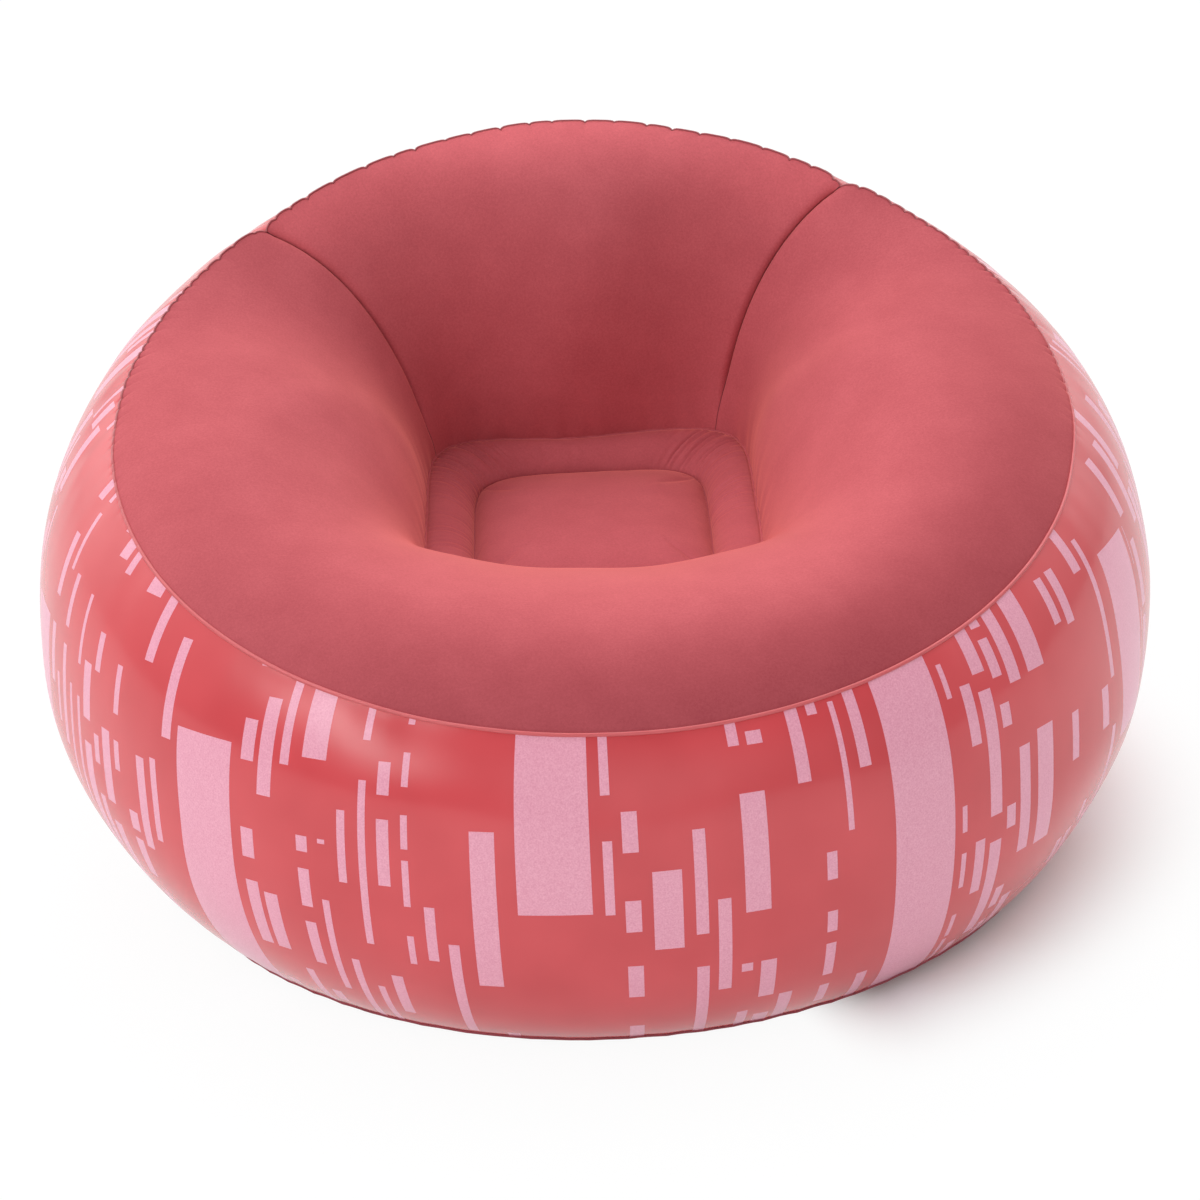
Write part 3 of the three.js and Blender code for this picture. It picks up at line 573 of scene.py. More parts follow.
def inflated(points, faces, cut, welded):
    """The film after air pressure has acted on it: welded points stay, no other point moves
    further than a cap, and the film's rest lengths are those of its flat cut."""
    mesh = bpy.data.meshes.new("film_under_pressure")
    mesh.from_pydata((points * MM).tolist(), [], faces.tolist())
    film = bpy.data.objects.new("film_under_pressure", mesh)
    bpy.context.scene.collection.objects.link(film)
    film.shape_key_add(name="seams")
    cut_key = film.shape_key_add(name="cut")
    cut_key.data.foreach_set("co", (cut * MM).astype(np.float32).ravel())
    film.vertex_groups.new(name="welded").add(welded.tolist(), 1.0, "REPLACE")
    cloth = film.modifiers.new("air", "CLOTH")
    cloth.settings.quality = 10
    cloth.settings.mass = 0.2
    cloth.settings.air_damping = 3.0
    cloth.settings.tension_stiffness = 60.0
    cloth.settings.compression_stiffness = 60.0
    cloth.settings.shear_stiffness = 20.0
    cloth.settings.bending_stiffness = 0.15
    cloth.settings.use_pressure = True
    cloth.settings.uniform_pressure_force = AIR_PRESSURE
    cloth.settings.vertex_group_mass = "welded"
    cloth.settings.rest_shape_key = cut_key
    cloth.settings.effector_weights.gravity = 0.0
    cloth.collision_settings.use_collision = False
    for number in range(1, FRAMES + 1):
        bpy.context.scene.frame_set(number)
    blown = film.evaluated_get(bpy.context.evaluated_depsgraph_get())
    moved = np.zeros(len(points) * 3, np.float32)
    blown.data.vertices.foreach_get("co", moved)
    bpy.data.objects.remove(film)
    bpy.context.scene.frame_set(1)
    shift = moved.reshape(-1, 3) / MM - points
    length = np.linalg.norm(shift, axis=-1, keepdims=True)
    return points + shift * np.minimum(1, FARTHEST / np.maximum(length, 1e-9))


def bottom_grid(azimuth, rings, edge_path):
    """The bottom panel from its middle outwards: flat on the floor, then up to the base seam with
    the square of the share, with small radial puckers that rise off the floor."""
    a, ring = np.broadcast_arrays(azimuth[:, None], rings[None, :])
    edge = np.linalg.norm(edge_path[:, None, :2], axis=-1)
    height = edge_path[:, None, 2]
    radius = np.where(ring < 1, ring * (edge - FLOOR_INSET), edge - FLOOR_INSET * (2 - ring))
    past = np.clip(ring - 1, 0, 1)
    depth, length = BOTTOM_PUCKERS
    wave = np.abs(soft_wave(a * MEAN_BOTTOM, length, 71, 2 * np.pi * MEAN_BOTTOM))
    pucker = depth * wave * past * (1 - past) * 3
    return outward(a) * radius[..., None] + UP * (height * past**2 + pucker)[..., None]


def bead_grid(path, radius, closed, sides=10):
    """A round bead along a path, square to it, level with the ground at its first corner."""
    if closed:
        ahead = unit(np.roll(path, -1, axis=0) - np.roll(path, 1, axis=0))
    else:
        ahead = unit(np.gradient(path, axis=0))
    right = unit(np.cross(ahead, UP))
    top = np.cross(right, ahead)
    turn = np.linspace(0, 2 * np.pi, sides, endpoint=False)[None, :, None]
    radius = np.broadcast_to(radius, (len(path),))[:, None, None]
    return path[:, None] + radius * (np.cos(turn) * top[:, None] + np.sin(turn) * right[:, None])


def grid_faces(columns, rows, closed_columns, closed_rows=False):
    """Quads of a grid whose vertices run down each column in turn."""
    i = np.arange(columns if closed_columns else columns - 1)[:, None]
    j = np.arange(rows if closed_rows else rows - 1)[None, :]
    a = i * rows + j
    b = ((i + 1) % columns) * rows + j
    c = ((i + 1) % columns) * rows + (j + 1) % rows
    d = i * rows + (j + 1) % rows
    return np.stack(np.broadcast_arrays(a, b, c, d), -1).reshape(-1, 4)


def pole_fan(ring, pole):
    """Triangles from a closed ring of vertices to one pole."""
    return np.stack([ring, np.roll(ring, -1), np.full(len(ring), pole)], -1)


def new_piece(name, points, faces, finish, body, replaced, loop_uv=None, thickness=0.0, nap=None):
    """A mesh piece in metres from points in millimetres and a list of face arrays. Each point may
    carry a number of painted shade and light: 1 where the flock is painted darker, as if its fibre
    were brushed down, and -1 where it is painted lighter, as if brushed up."""
    mesh = bpy.data.meshes.new(name)
    mesh.vertices.add(len(points))
    mesh.vertices.foreach_set("co", (points * MM).astype(np.float32).ravel())
    sizes = np.concatenate([np.full(len(f), f.shape[1]) for f in faces])
    corners = np.concatenate([f.ravel() for f in faces])
    mesh.loops.add(len(corners))
    mesh.loops.foreach_set("vertex_index", corners.astype(np.int32))
    mesh.polygons.add(len(sizes))
    starts = np.concatenate([[0], np.cumsum(sizes)[:-1]])
    mesh.polygons.foreach_set("loop_start", starts.astype(np.int32))
    mesh.polygons.foreach_set("use_smooth", np.ones(len(sizes), dtype=bool))
    if loop_uv is not None:
        layer = mesh.uv_layers.new(name="film")
        layer.data.foreach_set("uv", loop_uv.astype(np.float32).ravel())
    # Painted shade and light, kept as a point attribute for the flock's colour
    if nap is not None:
        layer = mesh.attributes.new("nap", "FLOAT", "POINT")
        layer.data.foreach_set("value", nap.astype(np.float32).ravel())
    mesh.update(calc_edges=True)
    mesh.validate()
    mesh.materials.append(finish)
    piece = bpy.data.objects.new(name, mesh)
    bpy.context.scene.collection.objects.link(piece)
    if thickness:
        wall = piece.modifiers.new("film_thickness", "SOLIDIFY")
        wall.thickness = thickness * MM
        wall.offset = -1
    if body:
        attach(piece, body)
    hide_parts(*replaced)
    return piece


# The valve's middle on the wall's outer face, and its axes: the third points out of the wall
joints = {joint["name"]: joint for joint in frame["joints"]}
VALVE_CENTRE = np.array(joints["insert_unscrew"]["pos_m"], float) / MM
VALVE_OUT = unit(np.array(joints["insert_unscrew"]["axis"], float))
VALVE_SIDE = np.array([1.0, 0.0, 0.0])
VALVE_AXES = np.stack([VALVE_SIDE, np.cross(VALVE_OUT, VALVE_SIDE), VALVE_OUT])


def on_valve(local):
    """Points of the valve's own frame, placed on the chair."""
    return VALVE_CENTRE + local @ VALVE_AXES


def from_valve(points):
    """Points of the chair in the valve's own frame."""
    return (points - VALVE_CENTRE) @ VALVE_AXES.T


def flattened(points):
    """The wall made flat round the valve: its height over the flange fades in with distance."""
    local = from_valve(points)
    fade = ease(np.hypot(local[..., 0], local[..., 1]), VALVE_FLAT, VALVE_BLEND)
    local[..., 2] *= np.where(local[..., 2] > -VALVE_BLEND, fade, 1)
    return on_valve(local)


def valve_window(points, uv):
    """A round hole in the flat of the wall for the valve's neck. A block of the grid is squared up
    and left out, and rings of points run from its sides in to the hole. Gives the moved grid, the
    rings' points, the faces kept and added, and every vertex's place on the film."""
    columns, rows = points.shape[:2]
    local = from_valve(points)
    close = (np.abs(local[..., 0]) < WINDOW_HALF) & (np.abs(local[..., 1]) < WINDOW_HALF)
    close &= local[..., 2] > -WINDOW_HALF
    inside_columns, inside_rows = np.nonzero(close)
    i0, i1 = inside_columns.min() - 1, inside_columns.max() + 1
    j0, j1 = inside_rows.min() - 1, inside_rows.max() + 1
    block = local[i0:i1 + 1, j0:j1 + 1]
    block[0, :, 0], block[-1, :, 0] = WINDOW_HALF, -WINDOW_HALF
    block[:, 0, 1], block[:, -1, 1] = WINDOW_HALF, -WINDOW_HALF
    block[1:-1, 0, 0] = np.linspace(WINDOW_HALF, -WINDOW_HALF, i1 - i0 + 1)[1:-1]
    block[1:-1, -1, 0] = block[1:-1, 0, 0]
    block[0, 1:-1, 1] = np.linspace(WINDOW_HALF, -WINDOW_HALF, j1 - j0 + 1)[1:-1]
    block[-1, 1:-1, 1] = block[0, 1:-1, 1]
    block[..., 2] = 0
    moved = on_valve(local)
    wide, high = i1 - i0, j1 - j0
    i = np.concatenate([np.arange(i0, i1), np.full(high, i1), np.arange(i1, i0, -1), np.full(high, i0)])
    j = np.concatenate([np.full(wide, j0), np.arange(j0, j1), np.full(wide, j1), np.arange(j1, j0, -1)])
    sides = len(i)
    turn = np.unwrap(np.arctan2(local[i, j, 1], local[i, j, 0]))
    turn = np.append(turn, turn[0] + 2 * np.pi)
    fine = np.interp(np.arange(4 * sides) / 4, np.arange(sides + 1), turn)
    radii = np.array([*WINDOW_RINGS, NECK_OUTER + PLAY])
    ring = outward(fine)[:, None] * radii[:, None]
    scale = BELLY_RADIUS / np.linalg.norm(VALVE_CENTRE[:2]) * MM
    middle = np.array([
        np.interp(np.pi / 2, column_azimuth, uv[:, 0, 0]),
        np.interp(0.0, -local[(i0 + i1) // 2, :j1, 1], uv[(i0 + i1) // 2, :j1, 1]),
    ])

    def placed(flat):
        """The place on the film, in metres, of points on the flat."""
        return middle - flat[..., :2] * np.array([scale, MM])

    uv = uv.copy()
    uv[i0:i1 + 1, j0:j1 + 1] = placed(local[i0:i1 + 1, j0:j1 + 1])
    faces = grid_faces(columns, rows, True).reshape(columns, rows - 1, 4)
    kept = np.ones((columns, rows - 1), bool)
    kept[i0:i1, j0:j1] = False
    first = columns * rows
    border = i * rows + j
    spot = first + np.arange(4 * sides) * len(radii)
    inner = np.roll(spot, -4)[::4]
    collar = np.stack([border, np.roll(border, -1), inner, *(spot[k::4] for k in (3, 2, 1, 0))], -1)
    rings = first + grid_faces(4 * sides, len(radii), True)
    all_points = np.vstack([moved.reshape(-1, 3), on_valve(ring).reshape(-1, 3)])
    all_uv = np.vstack([uv.reshape(-1, 2), placed(ring).reshape(-1, 2)])
    return all_points, all_uv, [faces[kept], collar, rings]


def eased_corners(corners, rounding, closed, steps=3):
    """A profile whose corners are parabolas that start and end a rounding away from the corner, or
    at 0.4 of the shorter side."""
    corners = np.asarray(corners, float)
    parts = []
    for k, here in enumerate(corners):
        if not closed and k in (0, len(corners) - 1):
            parts.append(here[None])
            continue
        back, on = corners[k - 1] - here, corners[(k + 1) % len(corners)] - here
        reach = min(rounding, 0.4 * np.linalg.norm(back), 0.4 * np.linalg.norm(on))
        t = np.linspace(0, 1, steps + 1)[:, None]
        parts.append(here + (1 - t) ** 2 * unit(back) * reach + t**2 * unit(on) * reach)
    return np.vstack(parts)


def divided(profile, step, closed):
    """The profile with points added so that no side is longer than a step."""
    ends = np.roll(profile, -1, axis=0) if closed else profile[1:]
    parts = []
    for start, end in zip(profile, ends):
        count = max(1, int(np.ceil(np.linalg.norm(end - start) / step)))
        parts.append(start + (end - start) * np.linspace(0, 1, count, endpoint=False)[:, None])
    return np.vstack(parts if closed else [*parts, profile[-1:]])


def turned(corners, closed=True, rounding=0.3, step=2.0, threads=(), ribs=None, segments=112):
    """A turned shape from a profile of radius and height, with right-handed threads and grip ribs.
    A thread is a face's radius, its depth, its pitch and its height from and to. Its tooth is a
    trapezium in height over pitch less turns, and runs out over a millimetre at both ends."""
    profile = divided(eased_corners(corners, rounding, closed), step, closed)
    radius, height = profile.T
    turn = np.linspace(0, 2 * np.pi, segments, endpoint=False)[:, None]
    grown = np.broadcast_to(radius, (segments, len(radius))).copy()
    for face, depth, pitch, low, high in threads:
        phase = (height - low) / pitch - turn / (2 * np.pi)
        off = np.abs((phase + 0.5) % 1 - 0.5)
        tooth = np.clip((THREAD_ROOT - off) / (THREAD_ROOT - THREAD_TIP), 0, 1)
        run_out = np.clip(height - low, 0, 1) * np.clip(high - height, 0, 1)
        grown += depth * tooth * run_out * (np.abs(radius - face) < 0.01)
    if ribs:
        face, count, depth = ribs
        grown -= depth * (0.5 + 0.5 * np.cos(count * turn)) * (radius > face - 0.25)
    points = np.stack(np.broadcast_arrays(grown * np.cos(turn), grown * np.sin(turn), height), -1)
    if closed:
        return points.reshape(-1, 3), [grid_faces(segments, len(radius), True, True)]
    body = points[:, 1:-1]
    rows = body.shape[1]
    low_ring = np.arange(segments) * rows
    poles = np.array([[0, 0, height[0]], [0, 0, height[-1]]])
    low_fan = pole_fan(low_ring, segments * rows)[:, ::-1]
    high_fan = pole_fan(low_ring + rows - 1, segments * rows + 1)
    return np.vstack([body.reshape(-1, 3), poles]), [grid_faces(segments, rows, True), low_fan, high_fan]


def slab(outline, layers):
    """An upright solid over a closed outline, counterclockwise: each layer is an inset and a height."""
    normal = np.cross(unit(np.roll(outline, -1, axis=0) - np.roll(outline, 1, axis=0)), UP)
    grid = np.stack([outline - normal * inset + UP * height for inset, height in layers], 1)
    count, rows = grid.shape[:2]
    low = (np.arange(count) * rows)[None, ::-1]
    high = (np.arange(count) * rows + rows - 1)[None, :]
    return grid.reshape(-1, 3), [grid_faces(count, rows, True), low, high]


def stadium(length, width, steps=10):
    """A closed outline with two half-round ends, its straight sides divided."""
    turn = np.linspace(-np.pi / 2, np.pi / 2, steps)
    end = np.stack([np.cos(turn), np.sin(turn), 0 * turn], -1) * width / 2
    end[:, 0] += (length - width) / 2
    return np.vstack([end, -end])


def strap(low_edge, low_foot, high_edge, high_foot):
    """A flat strap that leaves the lower ring, turns back over a half circle and ends on the upper."""
    bend = (high_foot - low_foot) / 2
    centre = max(low_edge, high_edge) + STRAP_REACH
    turn = np.linspace(-np.pi / 2, np.pi / 2, 25)
    arc = np.stack([centre + bend * np.cos(turn), low_foot + bend + bend * np.sin(turn)], -1)
    low = np.stack([np.linspace(low_edge, centre, 5)[:-1], np.full(4, low_foot)], -1)
    high = np.stack([np.linspace(centre, high_edge, 5)[1:], np.full(4, high_foot)], -1)
    path = np.vstack([low, arc, high])
    ahead = unit(np.gradient(path, axis=0))
    thick = np.stack([ahead[:, 1], -ahead[:, 0]], -1)
    outline = stadium(STRAP_WIDTH, STRAP_THICKNESS, 5)
    flat = path[:, None] + thick[:, None] * outline[None, :, 1, None]
    across = np.broadcast_to(outline[None, :, 0], flat.shape[:2])
    grid = np.stack([flat[..., 0], across, flat[..., 1] + STRAP_THICKNESS / 2], -1)
    count, sides = grid.shape[:2]
    ends = [np.arange(sides)[None, :], ((count - 1) * sides + np.arange(sides))[None, ::-1]]
    return grid.reshape(-1, 3), [grid_faces(count, sides, False, True)[:, ::-1], *ends]


def joined(*shells):
    """Several shells as one list of points and faces."""
    points, faces, first = [], [], 0
    for shell_points, shell_faces in shells:
        points.append(shell_points)
        faces += [face + first for face in shell_faces]
        first += len(shell_points)
    return np.vstack(points), faces


def flat_ring(inner, outer, low, high, **kind):
    """A turned ring of rectangular section."""
    return turned([(inner, low), (outer, low), (outer, high), (inner, high)], **kind)


def tether_shells(low_inner, low_foot, high_inner, high_foot):
    """A still ring and a rising ring, joined by a strap."""
    low = flat_ring(low_inner, low_inner + RING_WIDTH, low_foot, low_foot + STRAP_THICKNESS)
    high = flat_ring(high_inner, high_inner + RING_WIDTH, high_foot, high_foot + STRAP_THICKNESS)
    middle = RING_WIDTH / 2
    return joined(low, high, strap(low_inner + middle, low_foot, high_inner + middle, high_foot))


def valve_shells():
    """The valve's pieces in its own frame, heights from the wall's outer face."""
    flange_foot, lip_foot = FLANGE_TOP - FLANGE_THICKNESS, LIP_TOP - LIP_THICKNESS
    base = turned([
        (NECK_BORE, -NECK_DEPTH), (NECK_OUTER, -NECK_DEPTH), (NECK_OUTER, flange_foot),
        (FLANGE_RADIUS, flange_foot), (FLANGE_RADIUS, FLANGE_TOP), (NECK_OUTER, FLANGE_TOP),
        (NECK_OUTER, lip_foot), (LIP_RADIUS, lip_foot), (LIP_RADIUS, LIP_TOP), (NECK_BORE, LIP_TOP),
    ], step=0.4, threads=[(NECK_BORE, -THREAD_DEPTH, INSERT_PITCH, INSERT_PITCH / 2 - NECK_DEPTH, 0.0)])
    sleeve = turned([
        (INSERT_BORE, -SKIRT_DEPTH), (SKIRT_OUTER, -SKIRT_DEPTH), (SKIRT_OUTER, SPIGOT_FOOT),
        (SPIGOT_RADIUS, SPIGOT_FOOT), (SPIGOT_RADIUS, INSERT_FLANGE_FOOT),
        (INSERT_FLANGE_RADIUS, INSERT_FLANGE_FOOT), (INSERT_FLANGE_RADIUS, INSERT_FLANGE_TOP),
        (COLLAR_RADIUS, INSERT_FLANGE_TOP), (COLLAR_RADIUS, COLLAR_TOP), (INSERT_BORE, COLLAR_TOP),
    ], step=0.4, ribs=(INSERT_FLANGE_RADIUS, 56, 0.4), segments=224, threads=[
        (SKIRT_OUTER, THREAD_DEPTH, INSERT_PITCH, INSERT_PITCH - NECK_DEPTH, INSERT_LEAD),
        (INSERT_BORE, -THREAD_DEPTH, CAP_PITCH, CAP_THREAD_START, INSERT_FLANGE_TOP),
    ])
    spider_top = SPIDER_THICKNESS - SKIRT_DEPTH
    rim = flat_ring(INSERT_BORE - SPIDER_RIM, INSERT_BORE + PLAY, -SKIRT_DEPTH, spider_top)
    hub = flat_ring(HUB_HOLE, HUB_RADIUS, -SKIRT_DEPTH, spider_top)
    spokes = []
    for turn in np.radians([60, 180, 300]):
        ahead, aside = outward(np.array(turn)), np.array([-np.sin(turn), np.cos(turn), 0.0])
        corners = [(HUB_RADIUS - PLAY, -1), (INSERT_BORE - SPIDER_RIM + PLAY, -1),
                   (INSERT_BORE - SPIDER_RIM + PLAY, 1), (HUB_RADIUS - PLAY, 1)]
        outline = np.array([ahead * far + aside * way * SPOKE_WIDTH / 2 for far, way in corners])
        spokes.append(slab(outline, [(0, -SKIRT_DEPTH + 0.01), (0, spider_top - 0.01)]))
    flap_top = -SKIRT_DEPTH - PLAY
    bulb_foot = spider_top + FLAP_TRAVEL + PLAY
    flap = turned([
        (0, flap_top - FLAP_THICKNESS), (FLAP_RADIUS, flap_top - FLAP_THICKNESS), (FLAP_RADIUS, flap_top),
        (STEM_RADIUS, flap_top), (STEM_RADIUS, bulb_foot), (BULB_RADIUS, bulb_foot),
        (STEM_RADIUS, bulb_foot + BULB_HEIGHT), (0, bulb_foot + BULB_HEIGHT),
    ], closed=False, segments=72)
    thread_foot = CAP_THREAD_START + CAP_PITCH / 2
    disc = turned([
        (0, CAP_FOOT), (PLUG_BORE, CAP_FOOT), (PLUG_BORE, PLUG_FOOT), (PLUG_OUTER, PLUG_FOOT),
        (PLUG_OUTER, CAP_SPIGOT_FOOT), (CAP_SPIGOT_RADIUS, CAP_SPIGOT_FOOT), (CAP_SPIGOT_RADIUS, CAP_FOOT),
        (CAP_RADIUS, CAP_FOOT), (CAP_RADIUS, CAP_TOP), (CAP_RADIUS - CAP_RIM, CAP_TOP),
        (CAP_RADIUS - CAP_RIM - CAP_DISH, CAP_TOP - CAP_DISH), (0, CAP_TOP - CAP_DISH),
    ], closed=False, step=0.4, ribs=(CAP_RADIUS, 44, 0.35), segments=176, threads=[
        (PLUG_OUTER, THREAD_DEPTH, CAP_PITCH, thread_foot, thread_foot + CAP_TURNS * CAP_PITCH),
    ])
    dish, grip_top = CAP_TOP - CAP_DISH, CAP_TOP + GRIP_HEIGHT
    grip = slab(stadium(2 * PLUG_OUTER, GRIP_THICKNESS), [
        (-0.7, dish - 0.2), (-0.3, dish + 0.15), (0, dish + 0.6),
        (0, grip_top - 0.7), (0.2, grip_top - 0.25), (0.7, grip_top),
    ])
    return {
        "base": base,
        "insert": joined(sleeve, rim, hub, *spokes),
        "flap": flap,
        "cap": joined(disc, grip),
        "insert_gasket": flat_ring(NECK_BORE, GASKET_OUTER, LIP_TOP + PLAY, GASKET_TOP, rounding=0.4),
        "cap_gasket": flat_ring(
            INSERT_BORE, COLLAR_RADIUS, COLLAR_TOP + PLAY, CAP_GASKET_TOP, rounding=0.4),
        "insert_tether": tether_shells(NECK_OUTER + PLAY, PLAY, SPIGOT_RADIUS + PLAY, SPIGOT_FOOT),
        "cap_tether": tether_shells(COLLAR_RADIUS + PLAY, INSERT_FLANGE_TOP + PLAY,
                                    CAP_SPIGOT_RADIUS + PLAY, CAP_SPIGOT_FOOT),
    }


class Value:
    """A number in a shader: the usual operators add Math nodes."""

    def __init__(self, finish, socket):
        self.finish = finish
        self.socket = socket

    def math(self, operation, *others):
        inputs = dict(enumerate((self, *others)))
        return self.finish.add("ShaderNodeMath", {"operation": operation}, inputs)

    def __add__(self, other):
        return self.math("ADD", other)

    __radd__ = __add__

    def __sub__(self, other):
        return self.math("SUBTRACT", other)

    def __rsub__(self, other):
        return self.finish.add("ShaderNodeMath", {"operation": "SUBTRACT"}, {0: other, 1: self})

    def __mul__(self, other):
        return self.math("MULTIPLY", other)

    def __truediv__(self, other):
        return self.math("DIVIDE", other)

    def __gt__(self, other):
        return self.math("GREATER_THAN", other)

    def __lt__(self, other):
        return self.math("LESS_THAN", other)

    def floor(self):
        return self.math("FLOOR")

    def part(self):
        return self.math("FRACT")

    def size(self):
        return self.math("ABSOLUTE")

    def most(self, other):
        return self.math("MAXIMUM", other)

    def ramped(self, low, high):
        """0 at low and 1 at high, held outside."""
        inputs = {"Value": self, "From Min": low, "From Max": high}
        return self.finish.add("ShaderNodeMapRange", {"interpolation_type": "SMOOTHSTEP"}, inputs)


class Nodes:
    """A node tree and the ways to add to it."""

    def __init__(self, tree):
        self.tree = tree

    def add(self, kind, settings=None, inputs=None, output=0):
        """A node of a kind: its settings come first, then the values or links of its inputs."""
        node = self.tree.nodes.new(kind)
        for key, value in (settings or {}).items():
            if key == "stops":
                ramp = node.color_ramp.elements
                while len(ramp) < len(value):
                    ramp.new(0.5)
                for element, (place, tone) in zip(ramp, value):
                    element.position = place
                    element.color = (*tone, 1.0)
            else:
                setattr(node, key, value)
        for key, value in (inputs or {}).items():
            self.connect(value, node.inputs[key])
        return Value(self, node.outputs[output])

    def connect(self, value, socket):
        if isinstance(value, Value):
            self.tree.links.new(value.socket, socket)
        else:
            socket.default_value = value

    def vector_math(self, operation, *inputs, output=0):
        return self.add("ShaderNodeVectorMath", {"operation": operation}, dict(enumerate(inputs)), output)

    def split(self, vector):
        node = self.tree.nodes.new("ShaderNodeSeparateXYZ")
        self.connect(vector, node.inputs[0])
        return [Value(self, output) for output in node.outputs]

    def noise(self, vector, scale, detail=2.0, roughness=0.5):
        inputs = {"Vector": vector, "Scale": scale, "Detail": detail, "Roughness": roughness}
        return self.add("ShaderNodeTexNoise", None, inputs)

    def mix(self, factor, first, second):
        """Two colours mixed: a plain tuple is a linear colour."""
        node = self.tree.nodes.new("ShaderNodeMix")
        node.data_type = "RGBA"
        self.connect(factor, node.inputs["Factor"])
        for name, value in (("A", first), ("B", second)):
            socket = next(s for s in node.inputs if s.name == name and s.type == "RGBA")
            self.connect(value if isinstance(value, Value) else (*value, 1.0), socket)
        return Value(self, next(s for s in node.outputs if s.type == "RGBA"))

    def ramp(self, value, *stops):
        return self.add("ShaderNodeValToRGB", {"stops": stops}, {"Fac": value})

    def bump(self, height, strength, distance, under=None):
        inputs = {"Height": height, "Strength": strength, "Distance": distance}
        if under is not None:
            inputs["Normal"] = under
        return self.add("ShaderNodeBump", None, inputs)


class Finish(Nodes):
    """A procedural material with one Principled shader. Fixed numbers go on the shader's sockets."""

    def __init__(self, name, color, **fixed):
        self.material = bpy.data.materials.new(name)
        self.material.use_nodes = True
        super().__init__(self.material.node_tree)
        self.shader = self.tree.nodes["Principled BSDF"]
        self.shader.inputs["Base Color"].default_value = (*srgb(color), 1.0)
        self.material.diffuse_color = (*srgb(color), 1.0)
        self.set(**fixed)

    def place(self):
        return self.add("ShaderNodeTexCoord", output="Object")

    def set(self, **values):
        """Values or links of the shader's sockets, by their names in small letters."""
        for socket, value in values.items():
            self.connect(value, self.shader.inputs[socket.replace("_", " ").title()])


def srgb(code):
    """A linear colour from a hex code."""
    parts = np.array([(code >> shift & 255) / 255 for shift in (16, 8, 0)])
    linear = np.where(parts <= 0.04045, parts / 12.92, ((parts + 0.055) / 1.055) ** 2.4)
    return tuple(float(v) for v in linear)


def flock_finish():
    """Short dense fibre on film: finely mottled coral, matt, with a sheen where the surface turns
    away. Painted shade darkens it where the point attribute is 1 and painted light lightens it where
    it is -1, laid out as a nap brushed down and up."""
    finish = Finish("coral_flock", 0xC05C62, roughness=0.95, sheen_weight=1.0, sheen_roughness=0.38,
                    sheen_tint=(*srgb(0xF09288), 1.0))
    finish.shader.inputs["Specular IOR Level"].default_value = 0.0
    place = finish.place()
    cloud = finish.noise(place, 22.0, 3.0, 0.6)
    fleck = finish.noise(place, 430.0, 2.0, 0.7)
    nap = finish.noise(place, 1500.0, 2.0, 0.6)
    tone = cloud * 0.3 + fleck * 0.4 + nap * 0.3
    # Painted shade and light from the pieces' point attribute
    painted_shading = finish.add("ShaderNodeAttribute", {"attribute_name": "nap"}, None, "Fac")
    # Tones: as made, darker for painted shade, lighter for painted light
    level, painted_shade_tone, painted_light_tone = (
        finish.ramp(tone, (0.36, srgb(dark)), (0.5, srgb(middle)), (0.64, srgb(light)))
        for dark, middle, light in (
            (0xB5565D, 0xBE5D64, 0xC7646B),
            (0x98424A, 0xA0484F, 0xA84E55),
            (0xC66067, 0xD0676E, 0xDA6F76),
        )
    )
    color = finish.mix(0 - painted_shading, finish.mix(painted_shading, level, painted_shade_tone), painted_light_tone)
    coarse = finish.bump(fleck, 0.12, 0.0009)
    finish.set(base_color=color, normal=finish.bump(nap, 0.25, 0.0003, coarse))
    return finish.material


# The wall's print and its lap weld, in metres
WALL_GIRTH = 2 * np.pi * BELLY_RADIUS * MM
# Kinds of bars: lanes, shift, seed, widths, heights of a cell, chance, and shares of a cell they fill
THIN_BARS = (172, 0.0, 11.5, (0.005, 0.0155), (0.045, 0.2), 0.7, (0.3, 0.85))
BROAD_BARS = (43, 0.02, 61.5, (0.018, 0.027), (0.17, 0.3), 0.42, (0.25, 0.6))
BROAD_CLEARANCE = 0.006
WIDE_LANES = 10
WIDE_SHIFT = 0.1
WIDE_HALF = (0.033, 0.037)
WIDE_FOOT, WIDE_TOP = (-0.02, 0.18), (0.255, 0.415)
WIDE_CLEARANCE = 0.009
LAP_AT = np.radians(112) * BELLY_RADIUS * MM
LAP_WIDTH = 0.009
LAP_EDGE = 0.0008


